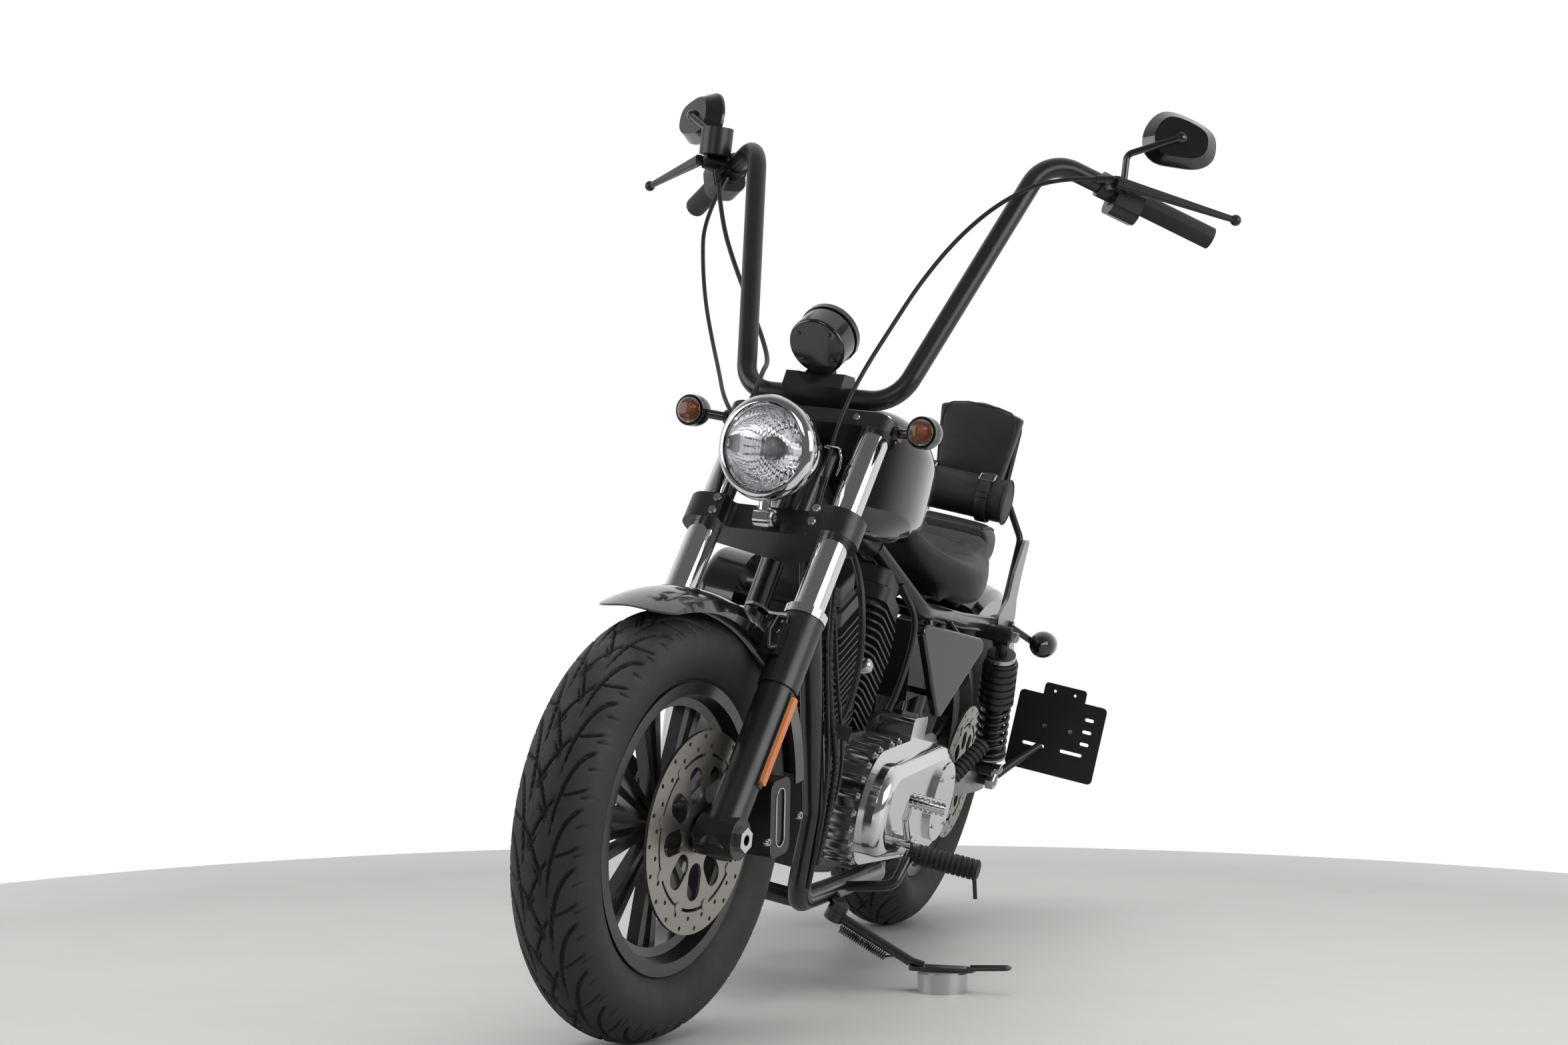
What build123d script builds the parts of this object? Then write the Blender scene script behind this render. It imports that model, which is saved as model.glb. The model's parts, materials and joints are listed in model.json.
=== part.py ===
"""Cruiser motorcycle, leaning on its side stand, as separate pieces (millimetres).

Pieces are drawn in one of four frames and then placed:
  upright  origin on the ground midway between the axles, +X forward, +Y left, +Z up
  steer    the upright frame with the front end turned about the steering axis
  fork     origin on the front axle, +Z up along the fork legs, +X square to them
  floor    the ground that the parked machine stands on
"""
from math import atan2, cos, degrees, pi, radians, sin, sqrt, tan
import os

from build123d import *

os.makedirs("parts", exist_ok=True)

# ---------------------------------------------------------------- driving dimensions
wheelbase = 1495.0
rake = 30.2                     # steering axis, degrees from the vertical
trail = 132.0
lean_angle = 12.6               # to the left, on the side stand
parked_steer = -13.0            # the bars rest turned to the rider's right
fit = 0.3                       # clearance between pieces that seat on each other
running = 5.0                   # clearance between pieces that move past each other

front_tyre_radius = 320.0
front_tyre_width = 130.0
front_crown = 72.0              # radius of the tread across the tyre
rear_tyre_radius = 323.0
rear_tyre_width = 150.0
rear_crown = 84.0
rim_flange_radius = 217.0
rim_bead_radius = 203.0
rim_well_radius = 186.0
rim_wall = 8.0
rim_lip = 6.0
front_rim_width = 92.0
rear_rim_width = 100.0
spoke_pairs = 9
spoke_thickness = 20.0
spoke_width = 16.0              # at the hub
spoke_spread = 4.4              # degrees between a spoke and the middle of its pair
axle_diameter = 25.0
hub_radius = 34.0
front_hub_width = 104.0
rear_hub_width = 132.0

front_disc_radius = 150.0
rear_disc_radius = 130.0
disc_thickness = 5.0
front_disc_y = 76.0
rear_disc_y = 88.0
disc_hole = 7.0

fork_spacing = 226.0            # between the two fork legs
tube_diameter = 49.0
slider_diameter = 63.0
slider_top = 366.0              # along the leg, above the axle
lower_clamp_z = 527.0
upper_clamp_z = 712.0
clamp_height = 44.0
upper_clamp_height = 26.0
head_tube_diameter = 62.0
head_bore = 34.0
clamp_front = 12.0              # front face of the lower clamp between the legs

bar_diameter = 32.0
grip_diameter = 36.0
headlight_radius = 80.0
signal_radius = 25.0

crank_x, crank_z = 105.0, 335.0
cylinder_angle = 22.5           # each cylinder, from the vertical
bore_radius = 70.0              # outside of the barrel, below its fins
fin_count = 11
fin_pitch = 12.5
fin_thickness = 4.0
barrel_base = 118.0             # from the crank's centre
head_base = 258.0
rocker_base = 335.0
rocker_top = 398.0

seat_height = 735.0
frame_tube = 38.0
rail_tube = 30.0
stand_pad_radius = 41.0
stand_pad_height = 34.0

# ---------------------------------------------------------------- steering geometry
fork_offset = front_tyre_radius * sin(radians(rake)) - trail * cos(radians(rake))
front_axle_point = Vector(wheelbase / 2, 0, front_tyre_radius)
rear_axle_point = Vector(-wheelbase / 2, 0, rear_tyre_radius)
leg_direction = Vector(-sin(radians(rake)), 0, cos(radians(rake)))
square_direction = Vector(cos(radians(rake)), 0, sin(radians(rake)))
fork_plane = Plane(origin=front_axle_point, x_dir=square_direction, z_dir=leg_direction)
steer_point = front_axle_point - square_direction * fork_offset
leg_y = fork_spacing / 2


def steer_axis_at(along):
    """Point of the steering axis at a height along the fork, in the upright frame"""
    return steer_point + leg_direction * along


turned = (Location(steer_point)
          * Plane(origin=(0, 0, 0), x_dir=square_direction, z_dir=leg_direction).location
          * Location((0, 0, 0), (0, 0, parked_steer))
          * Plane(origin=(0, 0, 0), x_dir=square_direction, z_dir=leg_direction).location.inverse()
          * Location(steer_point).inverse())


def lowest_point(place, centre, tyre_radius, crown):
    """Height of a placed tyre's lowest point, from its tread circle and its crown radius"""
    middle = (place * Location(centre)).position
    across = (place * Location(centre + Vector(0, 1, 0))).position - middle
    return middle.Z - (tyre_radius - crown) * sqrt(1 - across.Z ** 2) - crown


parked_pitch = 0.0
parked_lift = 0.0
for step in range(6):
    parked = Location((0, 0, parked_lift)) * Location((0, 0, 0), (-lean_angle, parked_pitch, 0))
    front_low = lowest_point(parked * turned, front_axle_point, front_tyre_radius, front_crown)
    rear_low = lowest_point(parked, rear_axle_point, rear_tyre_radius, rear_crown)
    parked_pitch += degrees((front_low - rear_low) / wheelbase)
    parked_lift -= (front_low + rear_low) / 2

upright = Location((0, 0, parked_lift)) * Location((0, 0, 0), (-lean_angle, parked_pitch, 0))
steer = upright * turned
fork = steer * fork_plane.location
floor = Location((0, 0, 0))

finished = []


def finish(piece, name, place):
    """Name a finished piece and place it in the parked machine"""
    piece.label = name
    placed = piece.moved(place)
    placed.label = name
    finished.append(placed)


def bend_path(points, radius):
    """A line of straight runs joined by arcs, in the sketch or part being made"""
    with BuildLine() as path:
        if len(points) > 2:
            FilletPolyline(*points, radius=radius)
        else:
            Line(*points)
    return path.wires()[0]


def bent_bar(points, radius, diameter):
    """A round bar along a line of points, added to the part being made"""
    path = bend_path(points, radius)
    with BuildSketch(Plane(origin=path @ 0, z_dir=path % 0)) as section:
        Circle(diameter / 2)
    sweep(section.sketch, path=path)


def straight_bar(start, end, diameter, mode=Mode.ADD):
    """A round bar between two points, added to the part being made"""
    run = Vector(*end) - Vector(*start)
    with BuildSketch(Plane(origin=start, z_dir=run)) as section:
        Circle(diameter / 2)
    extrude(section.sketch, amount=run.length, mode=mode)


def disc_at(centre, direction, diameter, thickness, mode=Mode.ADD):
    """A round boss centred on a point, added to the part being made"""
    with BuildSketch(Plane(origin=centre, z_dir=direction)) as section:
        Circle(diameter / 2)
    extrude(section.sketch, amount=thickness / 2, both=True, mode=mode)


def flip(point):
    """The same point on the other side of the machine"""
    return Vector(point.X, -point.Y, point.Z)


def foot_on(point, run):
    """Foot of the perpendicular from a point to the line through a run's two ends"""
    way = (run[1] - run[0]).normalized()
    return run[0] + way * (point - run[0]).dot(way)


def stub(start, run, seat_radius, diameter):
    """A round boss from a point square to a tube's run, ending one fit short of its surface"""
    start = Vector(*start)
    foot = foot_on(start, run)
    straight_bar(start, foot - (foot - start).normalized() * (seat_radius + fit), diameter)


# ---------------------------------------------------------------- wheels
def make_tyre(radius, width, crown, rim_width):
    """Tyre section turned about the axle: a round tread, bulging walls and an open inside"""
    half = width / 2
    edge_y = half - 9
    edge_r = radius - crown + sqrt(crown ** 2 - edge_y ** 2)
    bead_y = rim_width / 2 - rim_lip - fit
    bead_r = rim_bead_radius + fit
    lip_r = rim_flange_radius + 1
    side_r = (edge_r + lip_r) / 2 + 4
    wall = 11.0
    with BuildPart() as tyre:
        with BuildSketch(Plane.YZ):
            with BuildLine():
                ThreePointArc((-edge_y, edge_r), (0, radius), (edge_y, edge_r))
                ThreePointArc((edge_y, edge_r), (half, side_r), (bead_y, lip_r))
                Polyline((bead_y, lip_r), (bead_y, bead_r), (bead_y - wall, bead_r), (bead_y - wall, lip_r))
                ThreePointArc((bead_y - wall, lip_r), (half - wall, side_r), (edge_y - wall, edge_r - wall))
                ThreePointArc((edge_y - wall, edge_r - wall), (0, radius - wall), (wall - edge_y, edge_r - wall))
                ThreePointArc((wall - edge_y, edge_r - wall), (wall - half, side_r), (wall - bead_y, lip_r))
                Polyline((wall - bead_y, lip_r), (wall - bead_y, bead_r), (-bead_y, bead_r), (-bead_y, lip_r))
                ThreePointArc((-bead_y, lip_r), (-half, side_r), (-edge_y, edge_r))
            make_face()
        revolve(axis=Axis.Y)
    return tyre


def make_rim(rim_width, hub_width, disc_side_y, disc_pad_radius):
    """Cast wheel: drop-centre rim, nine split spokes and a hub with a seat for the disc"""
    lip = rim_width / 2
    barrel = rim_well_radius - rim_wall
    spoke_root = hub_radius - 8
    spoke_end = rim_well_radius - 3
    with BuildPart() as rim:
        with BuildSketch(Plane.YZ):
            with BuildLine() as section:
                Polyline((0, rim_well_radius), (18, rim_well_radius), (lip - 24, rim_bead_radius - 1),
                         (lip - rim_lip, rim_bead_radius), (lip - rim_lip, rim_flange_radius),
                         (lip, rim_flange_radius),
                         (lip, rim_bead_radius - 5), (lip - 22, rim_bead_radius - 12), (20, barrel), (0, barrel))
                mirror(about=Plane.YZ)
            make_face()
        revolve(axis=Axis.Y)
        with BuildSketch(Plane.XZ):
            with PolarLocations(0, spoke_pairs):
                for side in (-1, 1):
                    with Locations(Location((0, 0), side * spoke_spread)):
                        with Locations(((spoke_root + spoke_end) / 2, side * 3.5)):
                            Trapezoid(spoke_width, spoke_end - spoke_root, 88.4, rotation=90)
        extrude(amount=spoke_thickness / 2, both=True)
        with BuildSketch(Plane.XZ):
            Circle(hub_radius)
        extrude(amount=hub_width / 2, both=True)
        with BuildSketch(Plane.XZ.offset(-disc_side_y)):
            Circle(disc_pad_radius)
        extrude(amount=disc_side_y - hub_width / 2 + 4)
        with BuildSketch(Plane.XZ):
            Circle(axle_diameter / 2 + fit)
        extrude(amount=hub_width, both=True, mode=Mode.SUBTRACT)
    return rim


front_tyre = make_tyre(front_tyre_radius, front_tyre_width, front_crown, front_rim_width)
rear_tyre = make_tyre(rear_tyre_radius, rear_tyre_width, rear_crown, rear_rim_width)
front_rim = make_rim(front_rim_width, front_hub_width, front_disc_y - disc_thickness / 2 - fit, 46)
rear_rim = make_rim(rear_rim_width, rear_hub_width, rear_disc_y - disc_thickness / 2 - fit, 46)
finish(front_tyre.part, "front_tyre", fork)
finish(front_rim.part, "front_rim", fork)
rear_wheel_place = upright * Location(rear_axle_point)
finish(rear_tyre.part, "rear_tyre", rear_wheel_place)
finish(rear_rim.part, "rear_rim", rear_wheel_place)

# ---------------------------------------------------------------- brake discs
def make_disc(radius, band, hub_hole, windows, holes_in_row, side_y):
    """Drilled disc on a windowed carrier, joined to it by round bobbins"""
    inner = radius - band
    carrier = inner - 5
    web = carrier - hub_hole - 26
    with BuildPart() as disc:
        with BuildSketch(Plane.XZ.offset(-side_y)):
            Circle(radius)
            Circle(inner, mode=Mode.SUBTRACT)
            for row, share in ((radius - 8, 0), (radius - band + 9, 0.5)):
                with PolarLocations(row, holes_in_row, start_angle=share * 360 / holes_in_row):
                    Circle(disc_hole / 2, mode=Mode.SUBTRACT)
        extrude(amount=disc_thickness / 2, both=True)
        with BuildSketch(Plane.XZ.offset(-side_y)):
            Circle(carrier)
            Circle(hub_hole, mode=Mode.SUBTRACT)
            window_row = (carrier + hub_hole) / 2 + 2
            with PolarLocations(window_row, windows):
                SlotOverall(web, 2 * pi * window_row / windows - 15, mode=Mode.SUBTRACT)
        extrude(amount=disc_thickness / 2 - 0.5, both=True)
        with BuildSketch(Plane.XZ.offset(-side_y)):
            with PolarLocations(inner - 2, windows, start_angle=180 / windows):
                Circle(9)
        extrude(amount=disc_thickness / 2 + 1, both=True)
    return disc


front_disc = make_disc(front_disc_radius, 33, 30, 9, 20, front_disc_y)
rear_disc = make_disc(rear_disc_radius, 33, 30, 9, 16, rear_disc_y)
finish(front_disc.part, "front_disc", fork)
finish(rear_disc.part, "rear_disc", rear_wheel_place)

# ---------------------------------------------------------------- fork
fender_half_width = 76.0
caliper_bracket_y = 104.0
caliper_bracket_width = 14.0
caliper_bracket_end = 56.0
slider_foot = 26.0              # slider below the axle
lug_width = 62.0
with BuildPart() as fork_sliders:
    with BuildSketch(Plane.XY.offset(-slider_foot)):
        with Locations((0, leg_y)):
            Circle(slider_diameter / 2 - 3)
    extrude(amount=slider_top + slider_foot)
    with BuildSketch(Plane.XY.offset(slider_top - 120)):
        with Locations((0, leg_y)):
            Circle(slider_diameter / 2)
    extrude(amount=120)
    disc_at((0, leg_y + 2, 0), (0, 1, 0), lug_width, lug_width)
    with BuildSketch(Plane.XY.offset(286)):                          # fender lug
        with Locations((16, (leg_y + fender_half_width + fit) / 2)):
            Rectangle(40, leg_y - fender_half_width - fit)
    extrude(amount=54)
    with BuildSketch(Plane.XY.offset(86)):                           # seat of the reflector
        with Locations((0, leg_y + slider_diameter / 2 - 6)):
            Rectangle(18, 10)
    extrude(amount=154)
    with BuildSketch(Plane.XY.offset(46)):                           # caliper bracket
        with Locations((-caliper_bracket_end / 2, caliper_bracket_y)):
            Rectangle(caliper_bracket_end, caliper_bracket_width)
    extrude(amount=72)
    mirror(about=Plane.XZ)
    with BuildSketch(Plane.XY.offset(40)):
        for side in (-1, 1):
            with Locations((0, side * leg_y)):
                Circle(tube_diameter / 2 + fit)
    extrude(amount=slider_top, mode=Mode.SUBTRACT)
    disc_at((0, 0, 0), (0, 1, 0), axle_diameter + 2 * fit, 2 * fork_spacing, mode=Mode.SUBTRACT)
finish(fork_sliders.part, "fork_sliders", fork)

with BuildPart() as fork_tubes:
    with BuildSketch(Plane.XY.offset(60)):
        with Locations((0, leg_y)):
            Circle(tube_diameter / 2)
    extrude(amount=upper_clamp_z + upper_clamp_height / 2 + 6 - 60)
    with BuildSketch(Plane.XY.offset(slider_top + fit)):             # collar over the slider's top
        with Locations((0, leg_y)):
            Circle(slider_diameter / 2 + 2)
    extrude(amount=14)
    mirror(about=Plane.XZ)
finish(fork_tubes.part, "fork_tubes", fork)

axle_half = leg_y + lug_width / 2 + 2
axle_nut_radius, axle_nut_height = 19.0, 10.0
axle_bore, axle_bore_depth = 16.0, 40.0
with BuildPart() as front_axle:
    disc_at((0, 0, 0), (0, 1, 0), axle_diameter, 2 * axle_half + 6)
    for side in (-1, 1):
        with BuildSketch(Plane.XZ.offset(-side * (axle_half + fit))):
            RegularPolygon(axle_nut_radius, 6)
        extrude(amount=-side * axle_nut_height)
        disc_at((0, side * (axle_half + fit + axle_nut_height - axle_bore_depth / 2), 0), (0, 1, 0), axle_bore,
                axle_bore_depth, mode=Mode.SUBTRACT)
finish(front_axle.part, "front_axle", fork)


def clamp_plate(bottom, height, leg_radius, stem_radius):
    """Plate that holds both legs and the steering stem, added to the part being made"""
    with BuildSketch(Plane.XY.offset(bottom)) as plate:
        with Locations((0, leg_y), (0, -leg_y)):
            Circle(leg_radius)
        with Locations((-fork_offset, 0)):
            Circle(stem_radius)
        make_hull()
    extrude(plate.sketch, amount=height)


# ---------------------------------------------------------------- routes of the bars' cables
clutch_route = [(204, 352, 1368), (236, 292, 1362), (270, 226, 1318), (300, 172, 1254), (334, 132, 1176),
                (366, 106, 1100), (400, 84, 1028), (430, 74, 968), (448, 68, 910), (454, 64, 856)]
throttle_route = [(150, -352, 1322), (176, -362, 1264), (208, -336, 1190), (250, -297, 1119), (300, -246, 1052),
                  (356, -196, 1002), (414, -152, 966), (452, -108, 934), (460, -76, 884)]
brake_route = [(186, -336, 1330), (212, -306, 1262), (238, -258, 1190), (262, -208, 1126), (296, -158, 1070),
               (344, -116, 1030), (400, -94, 1012), (448, -80, 966), (470, -96, 906)]
clamp_top = lower_clamp_z + clamp_height / 2


def cable_stop(route, foot):
    """Ferrule over a cable's lower end and its post down to the clamp, added to the part being made"""
    end, before = [Vector(*point) - front_axle_point for point in (route[-1], route[-2])]
    end, before = [Vector(point.dot(square_direction), point.Y, point.dot(leg_direction)) for point in (end, before)]
    way = (end - before).normalized()
    straight_bar(end + way * fit, end + way * 14, 13)
    straight_bar(end + way * 11, foot, 11)


# ---------------------------------------------------------------- fork clamps
with BuildPart() as fork_clamps:
    clamp_plate(lower_clamp_z - clamp_height / 2, clamp_height, 38, 34)
    clamp_plate(upper_clamp_z - upper_clamp_height / 2, upper_clamp_height, 34, 32)
    with BuildSketch(Plane.XY.offset(lower_clamp_z - clamp_height / 2)):
        with Locations((clamp_front + 30, 0)):
            RectangleRounded(60, 2 * leg_y - 76, 12)
    extrude(amount=clamp_height, mode=Mode.SUBTRACT)
    with BuildSketch(Plane.XY.offset(lower_clamp_z)):
        with Locations((-fork_offset, 0)):
            Circle(head_bore / 2 - fit)
    extrude(amount=upper_clamp_z - lower_clamp_z)
    cable_stop(clutch_route, (0, 64, clamp_top - 6))
    cable_stop(throttle_route, (14, -84, clamp_top - 6))
    cable_stop(brake_route, (26, -100, clamp_top - 6))
    with BuildSketch(Plane.XY.offset(lower_clamp_z - clamp_height)):
        for side in (-1, 1):
            with Locations((0, side * leg_y)):
                Circle(tube_diameter / 2 + fit)
    extrude(amount=2 * upper_clamp_z, mode=Mode.SUBTRACT)
finish(fork_clamps.part, "fork_clamps", fork)

# ---------------------------------------------------------------- front brake caliper

caliper_x, caliper_z = -101.0, 88.0
with BuildPart() as front_caliper:
    tangent = Plane(origin=(caliper_x, 98, caliper_z), x_dir=(caliper_z, 0, -caliper_x), z_dir=(0, 1, 0))
    with BuildSketch(tangent.offset(-38)):
        RectangleRounded(118, 60, 16)
    extrude(amount=78)
    with BuildSketch(Plane.XZ.offset(-front_disc_y)):
        Circle(front_disc_radius + 3)
    extrude(amount=disc_thickness / 2 + 3, both=True, mode=Mode.SUBTRACT)
    with BuildSketch(tangent.offset(38)):
        SlotOverall(88, 24, rotation=0)
    extrude(amount=3, mode=Mode.SUBTRACT)
    with BuildSketch(Plane.XY.offset(40)):                           # slot for the slider's bracket
        with Locations((-caliper_bracket_end / 2, caliper_bracket_y)):
            Rectangle(caliper_bracket_end + 2 * fit, caliper_bracket_width + 2 * fit)
    extrude(amount=120, mode=Mode.SUBTRACT)
finish(front_caliper.part, "front_caliper", fork)

with BuildPart() as fork_reflectors:
    with BuildSketch(Plane.XZ.offset(-(leg_y + slider_diameter / 2 - 1 + fit))):
        with Locations((0, 163)):
            RectangleRounded(13, 146, 4)
    extrude(amount=-6)
    mirror(about=Plane.XZ)
finish(fork_reflectors.part, "fork_reflectors", fork)

# ---------------------------------------------------------------- front fender
fender_radius = 352.0
fender_back = -78.0
fender_tip = 24.0


def wheel_section(angle):
    """Plane through the axle at an angle forward of the vertical, radius along its local Y"""
    return Plane(origin=(0, 0, 0), x_dir=(0, 1, 0), z_dir=(cos(radians(angle)), 0, -sin(radians(angle))))


def make_fender(outer, half_width, skirt, start, sweep_angle, sheet=3.0):
    """Sheet fender: a crowned section with side skirts, turned about the axle"""
    crown_edge = outer - 14
    with BuildPart() as fender:
        with BuildSketch(wheel_section(start)):
            with BuildLine() as profile:
                ThreePointArc((-half_width + 12, crown_edge), (0, outer), (half_width - 12, crown_edge))
                Line((half_width - 12, crown_edge), (half_width, crown_edge - 16))
                Line((half_width, crown_edge - 16), (half_width, outer - skirt))
                Line((half_width, outer - skirt), (half_width - sheet, outer - skirt))
                Line((half_width - sheet, outer - skirt), (half_width - sheet, crown_edge - 15))
                Line((half_width - sheet, crown_edge - 15), (half_width - 13, crown_edge - sheet))
                ThreePointArc((half_width - 13, crown_edge - sheet), (0, outer - sheet),
                              (13 - half_width, crown_edge - sheet))
                Line((13 - half_width, crown_edge - sheet), (sheet - half_width, crown_edge - 15))
                Line((sheet - half_width, crown_edge - 15), (sheet - half_width, outer - skirt))
                Line((sheet - half_width, outer - skirt), (-half_width, outer - skirt))
                Line((-half_width, outer - skirt), (-half_width, crown_edge - 16))
                Line((-half_width, crown_edge - 16), (-half_width + 12, crown_edge))
            make_face()
        revolve(axis=Axis.Y, revolution_arc=sweep_angle)
    return fender


def round_the_wheel(angle, radius):
    """Point on a circle round the axle, at an angle forward of the vertical"""
    return radius * sin(radians(angle)), radius * cos(radians(angle))


tip_radius = 58.0
with make_fender(fender_radius, fender_half_width, 56, fender_back, fender_tip - fender_back) as front_fender:
    with BuildSketch(Plane.XZ) as below_skirt:
        with BuildLine():
            skirt_cut = ThreePointArc(round_the_wheel(-38, 295), round_the_wheel(-2, 315), round_the_wheel(30, 345))
            Polyline(skirt_cut @ 1, (300, 200), (0, 150), skirt_cut @ 0)
        make_face()
    extrude(below_skirt.sketch, amount=2 * fender_half_width, both=True, mode=Mode.SUBTRACT)
    tip_x, tip_z = round_the_wheel(fender_tip, fender_radius)
    with BuildSketch(Plane(origin=(tip_x, 0, tip_z), x_dir=wheel_section(fender_tip).z_dir,
                           z_dir=wheel_section(fender_tip).y_dir)) as round_corners:
        Rectangle(2 * tip_radius, 4 * fender_half_width)
        with Locations((-150, 0)):
            RectangleRounded(300, 2 * fender_half_width + 1, tip_radius, mode=Mode.SUBTRACT)
    extrude(round_corners.sketch, amount=60, both=True, mode=Mode.SUBTRACT)
front_wheel_place = steer * Location(front_axle_point)
finish(front_fender.part, "front_fender", front_wheel_place)

# ---------------------------------------------------------------- headlight
light_x, light_z = 545.0, 890.0
light_depth = 118.0
ring_width = 10.0
with BuildPart() as headlight_shell:
    with BuildSketch(Plane.XZ):
        with BuildLine():
            Line((light_x - light_depth, 0), (light_x - light_depth, 26))
            Spline((light_x - light_depth, 26), (light_x - 70, 66), (light_x - 24, headlight_radius - 5))
            Line((light_x - 24, headlight_radius - 5), (light_x - 22, headlight_radius))
            ThreePointArc((light_x - 22, headlight_radius), (light_x - 4, headlight_radius - 2),
                          (light_x, headlight_radius - ring_width))
            Line((light_x, headlight_radius - ring_width), (light_x - 12, headlight_radius - ring_width - 2))
            Spline((light_x - 12, headlight_radius - ring_width - 2), (light_x - 66, 48), (light_x - 96, 14))
            Line((light_x - 96, 14), (light_x - 96, 8))
            Line((light_x - 96, 8), (light_x - 34, 8))
            Line((light_x - 34, 8), (light_x - 34, 0))
            Line((light_x - 34, 0), (light_x - light_depth, 0))
        make_face()
    revolve(axis=Axis.X)
    hinge = Vector(light_x - 30, 0, -headlight_radius - 26)
    straight_bar(hinge + Vector(0, 0, 32), hinge, 20)
    disc_at(hinge, (0, 1, 0), 30, 26)
    hinge_ahead = (hinge + Vector(0, 0, light_z) - front_axle_point).dot(square_direction)
    straight_bar(hinge, hinge - square_direction * (hinge_ahead - clamp_front - fit), 18)
finish(headlight_shell.part, "headlight_shell", steer * Location((0, 0, light_z)))



def dome_points(base, radius, height):
    """Start, middle and apex of an arc that closes a round lens as part of a sphere"""
    ball = (radius ** 2 + height ** 2) / (2 * height)
    half = atan2(radius, ball - height) / 2
    return (base, radius), (base + height - ball + ball * cos(half), ball * sin(half)), (base + height, 0)


with BuildPart() as headlight_lens:
    lens_radius = headlight_radius - ring_width - 2.5
    dome = dome_points(light_x - 6, lens_radius, 11)
    with BuildSketch(Plane.XZ):
        with BuildLine():
            Polyline((light_x + 5, 0), (light_x - 9, 0), (light_x - 9, lens_radius), (light_x - 6, lens_radius))
            ThreePointArc(*dome)
        make_face()
    revolve(axis=Axis.X)
finish(headlight_lens.part, "headlight_lens", steer * Location((0, 0, light_z)))

# ---------------------------------------------------------------- turn signals
signal_x, signal_y, signal_z = 418.0, 205.0, 939.0


def signal_plane(centre, facing):
    """Plane through a signal's axis: its X along the way the lamp faces"""
    return Plane(origin=centre, x_dir=(facing, 0, 0), z_dir=(0, -facing, 0))


def signal_body(centre, facing, length):
    """Bullet housing turned about its own axis, open for the lens, added to the part being made"""
    with BuildSketch(signal_plane(centre, facing)) as section:
        with BuildLine():
            Line((-length, 0), (-length, 4))
            Spline((-length, 4), (-length * 0.6, signal_radius * 0.86), (0, signal_radius))
            Polyline((0, signal_radius), (6, signal_radius), (6, signal_radius - 2.5), (-4, signal_radius - 2.5),
                     (-4, 0), (-length, 0))
        make_face()
    revolve(section.sketch, axis=Axis(centre, (1, 0, 0)))


with BuildPart() as front_signals:
    lamp = Vector(signal_x, signal_y, signal_z)
    signal_body(lamp, 1, 44)
    stalk = Vector(signal_x - 26, leg_y + 34 + 6, signal_z - 5)
    straight_bar(lamp + Vector(-14, 8 - signal_radius, -2), stalk, 15)
    straight_bar(stalk + Vector(0, 2, 0), stalk - Vector(0, 6 - fit, 0), 24)
    mirror(about=Plane.XZ)
finish(front_signals.part, "front_signals", steer)

with BuildPart() as front_signal_lenses:
    lens_edge = signal_radius - 3
    with BuildSketch(signal_plane(lamp, 1)):
        with BuildLine():
            Polyline((15, 0), (-3.5, 0), (-3.5, lens_edge), (8, lens_edge))
            ThreePointArc(*dome_points(8, lens_edge, 7))
        make_face()
    revolve(axis=Axis(lamp, (1, 0, 0)))
    mirror(about=Plane.XZ)
finish(front_signal_lenses.part, "front_signal_lenses", steer)

# ---------------------------------------------------------------- handlebar and controls
bar_x, bar_z = 380.0, 990.0
bar_low = Vector(bar_x - 4, 134, bar_z - 8)
bar_high = Vector(198, 262, 1398)
bar_end = Vector(12, 474, 1308)
grip_way = (bar_end - bar_high).normalized()
grip_length = 126.0


with BuildPart() as handlebar:
    bent_bar([bar_end, bar_high, bar_low, flip(bar_low), flip(bar_high), flip(bar_end)], 60, bar_diameter)
finish(handlebar.part, "handlebar", steer)

with BuildPart() as grips:
    grip_start = bar_end - grip_way * grip_length
    straight_bar(grip_start, bar_end + grip_way * 5, grip_diameter)
    straight_bar(grip_start, bar_end + grip_way * fit, bar_diameter + 2 * fit, mode=Mode.SUBTRACT)
    mirror(about=Plane.XZ)
finish(grips.part, "grips", steer)

speedo_centre = Vector(408, 0, 1056)
speedo_way = Vector(-cos(radians(32)), 0, sin(radians(32)))
speedo_radius = 50.0
speedo_body_radius = 48.0
speedo_body = 44.0
with BuildPart() as riser:
    with BuildSketch(Plane.XZ):
        with BuildLine():
            Polyline((bar_x - 36, bar_z - 12), (bar_x + 6, bar_z - 36), (bar_x + 30, bar_z + 6), (bar_x + 20, bar_z + 28),
                     (bar_x - 14, bar_z + 26), (bar_x - 36, bar_z - 12))
        make_face()
    extrude(amount=52, both=True)
    with BuildSketch(Plane.XZ):
        with BuildLine():
            Polyline((bar_x - 8, bar_z + 20), (bar_x + 20, bar_z + 16), (bar_x + 44, bar_z + 58),
                     (bar_x + 8, bar_z + 70), (bar_x - 8, bar_z + 20))
        make_face()
    extrude(amount=24, both=True)
    for side in (-1, 1):
        post = front_axle_point + leg_direction * (upper_clamp_z + upper_clamp_height / 2 + fit)
        post += Vector(0, side * 30, 0)
        straight_bar(post, post + leg_direction * 34, 28)
    straight_bar((bar_low.X, -60, bar_low.Z), (bar_low.X, 60, bar_low.Z), bar_diameter + 2 * fit,
                 mode=Mode.SUBTRACT)
    straight_bar(speedo_centre - speedo_way * 40, speedo_centre + speedo_way * speedo_body, 2 * speedo_body_radius
                 + 2 * fit, mode=Mode.SUBTRACT)
    straight_bar(speedo_centre + speedo_way * speedo_body, speedo_centre + speedo_way * 80,
                 2 * speedo_radius + 2 * fit, mode=Mode.SUBTRACT)
finish(riser.part, "riser", steer)

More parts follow.
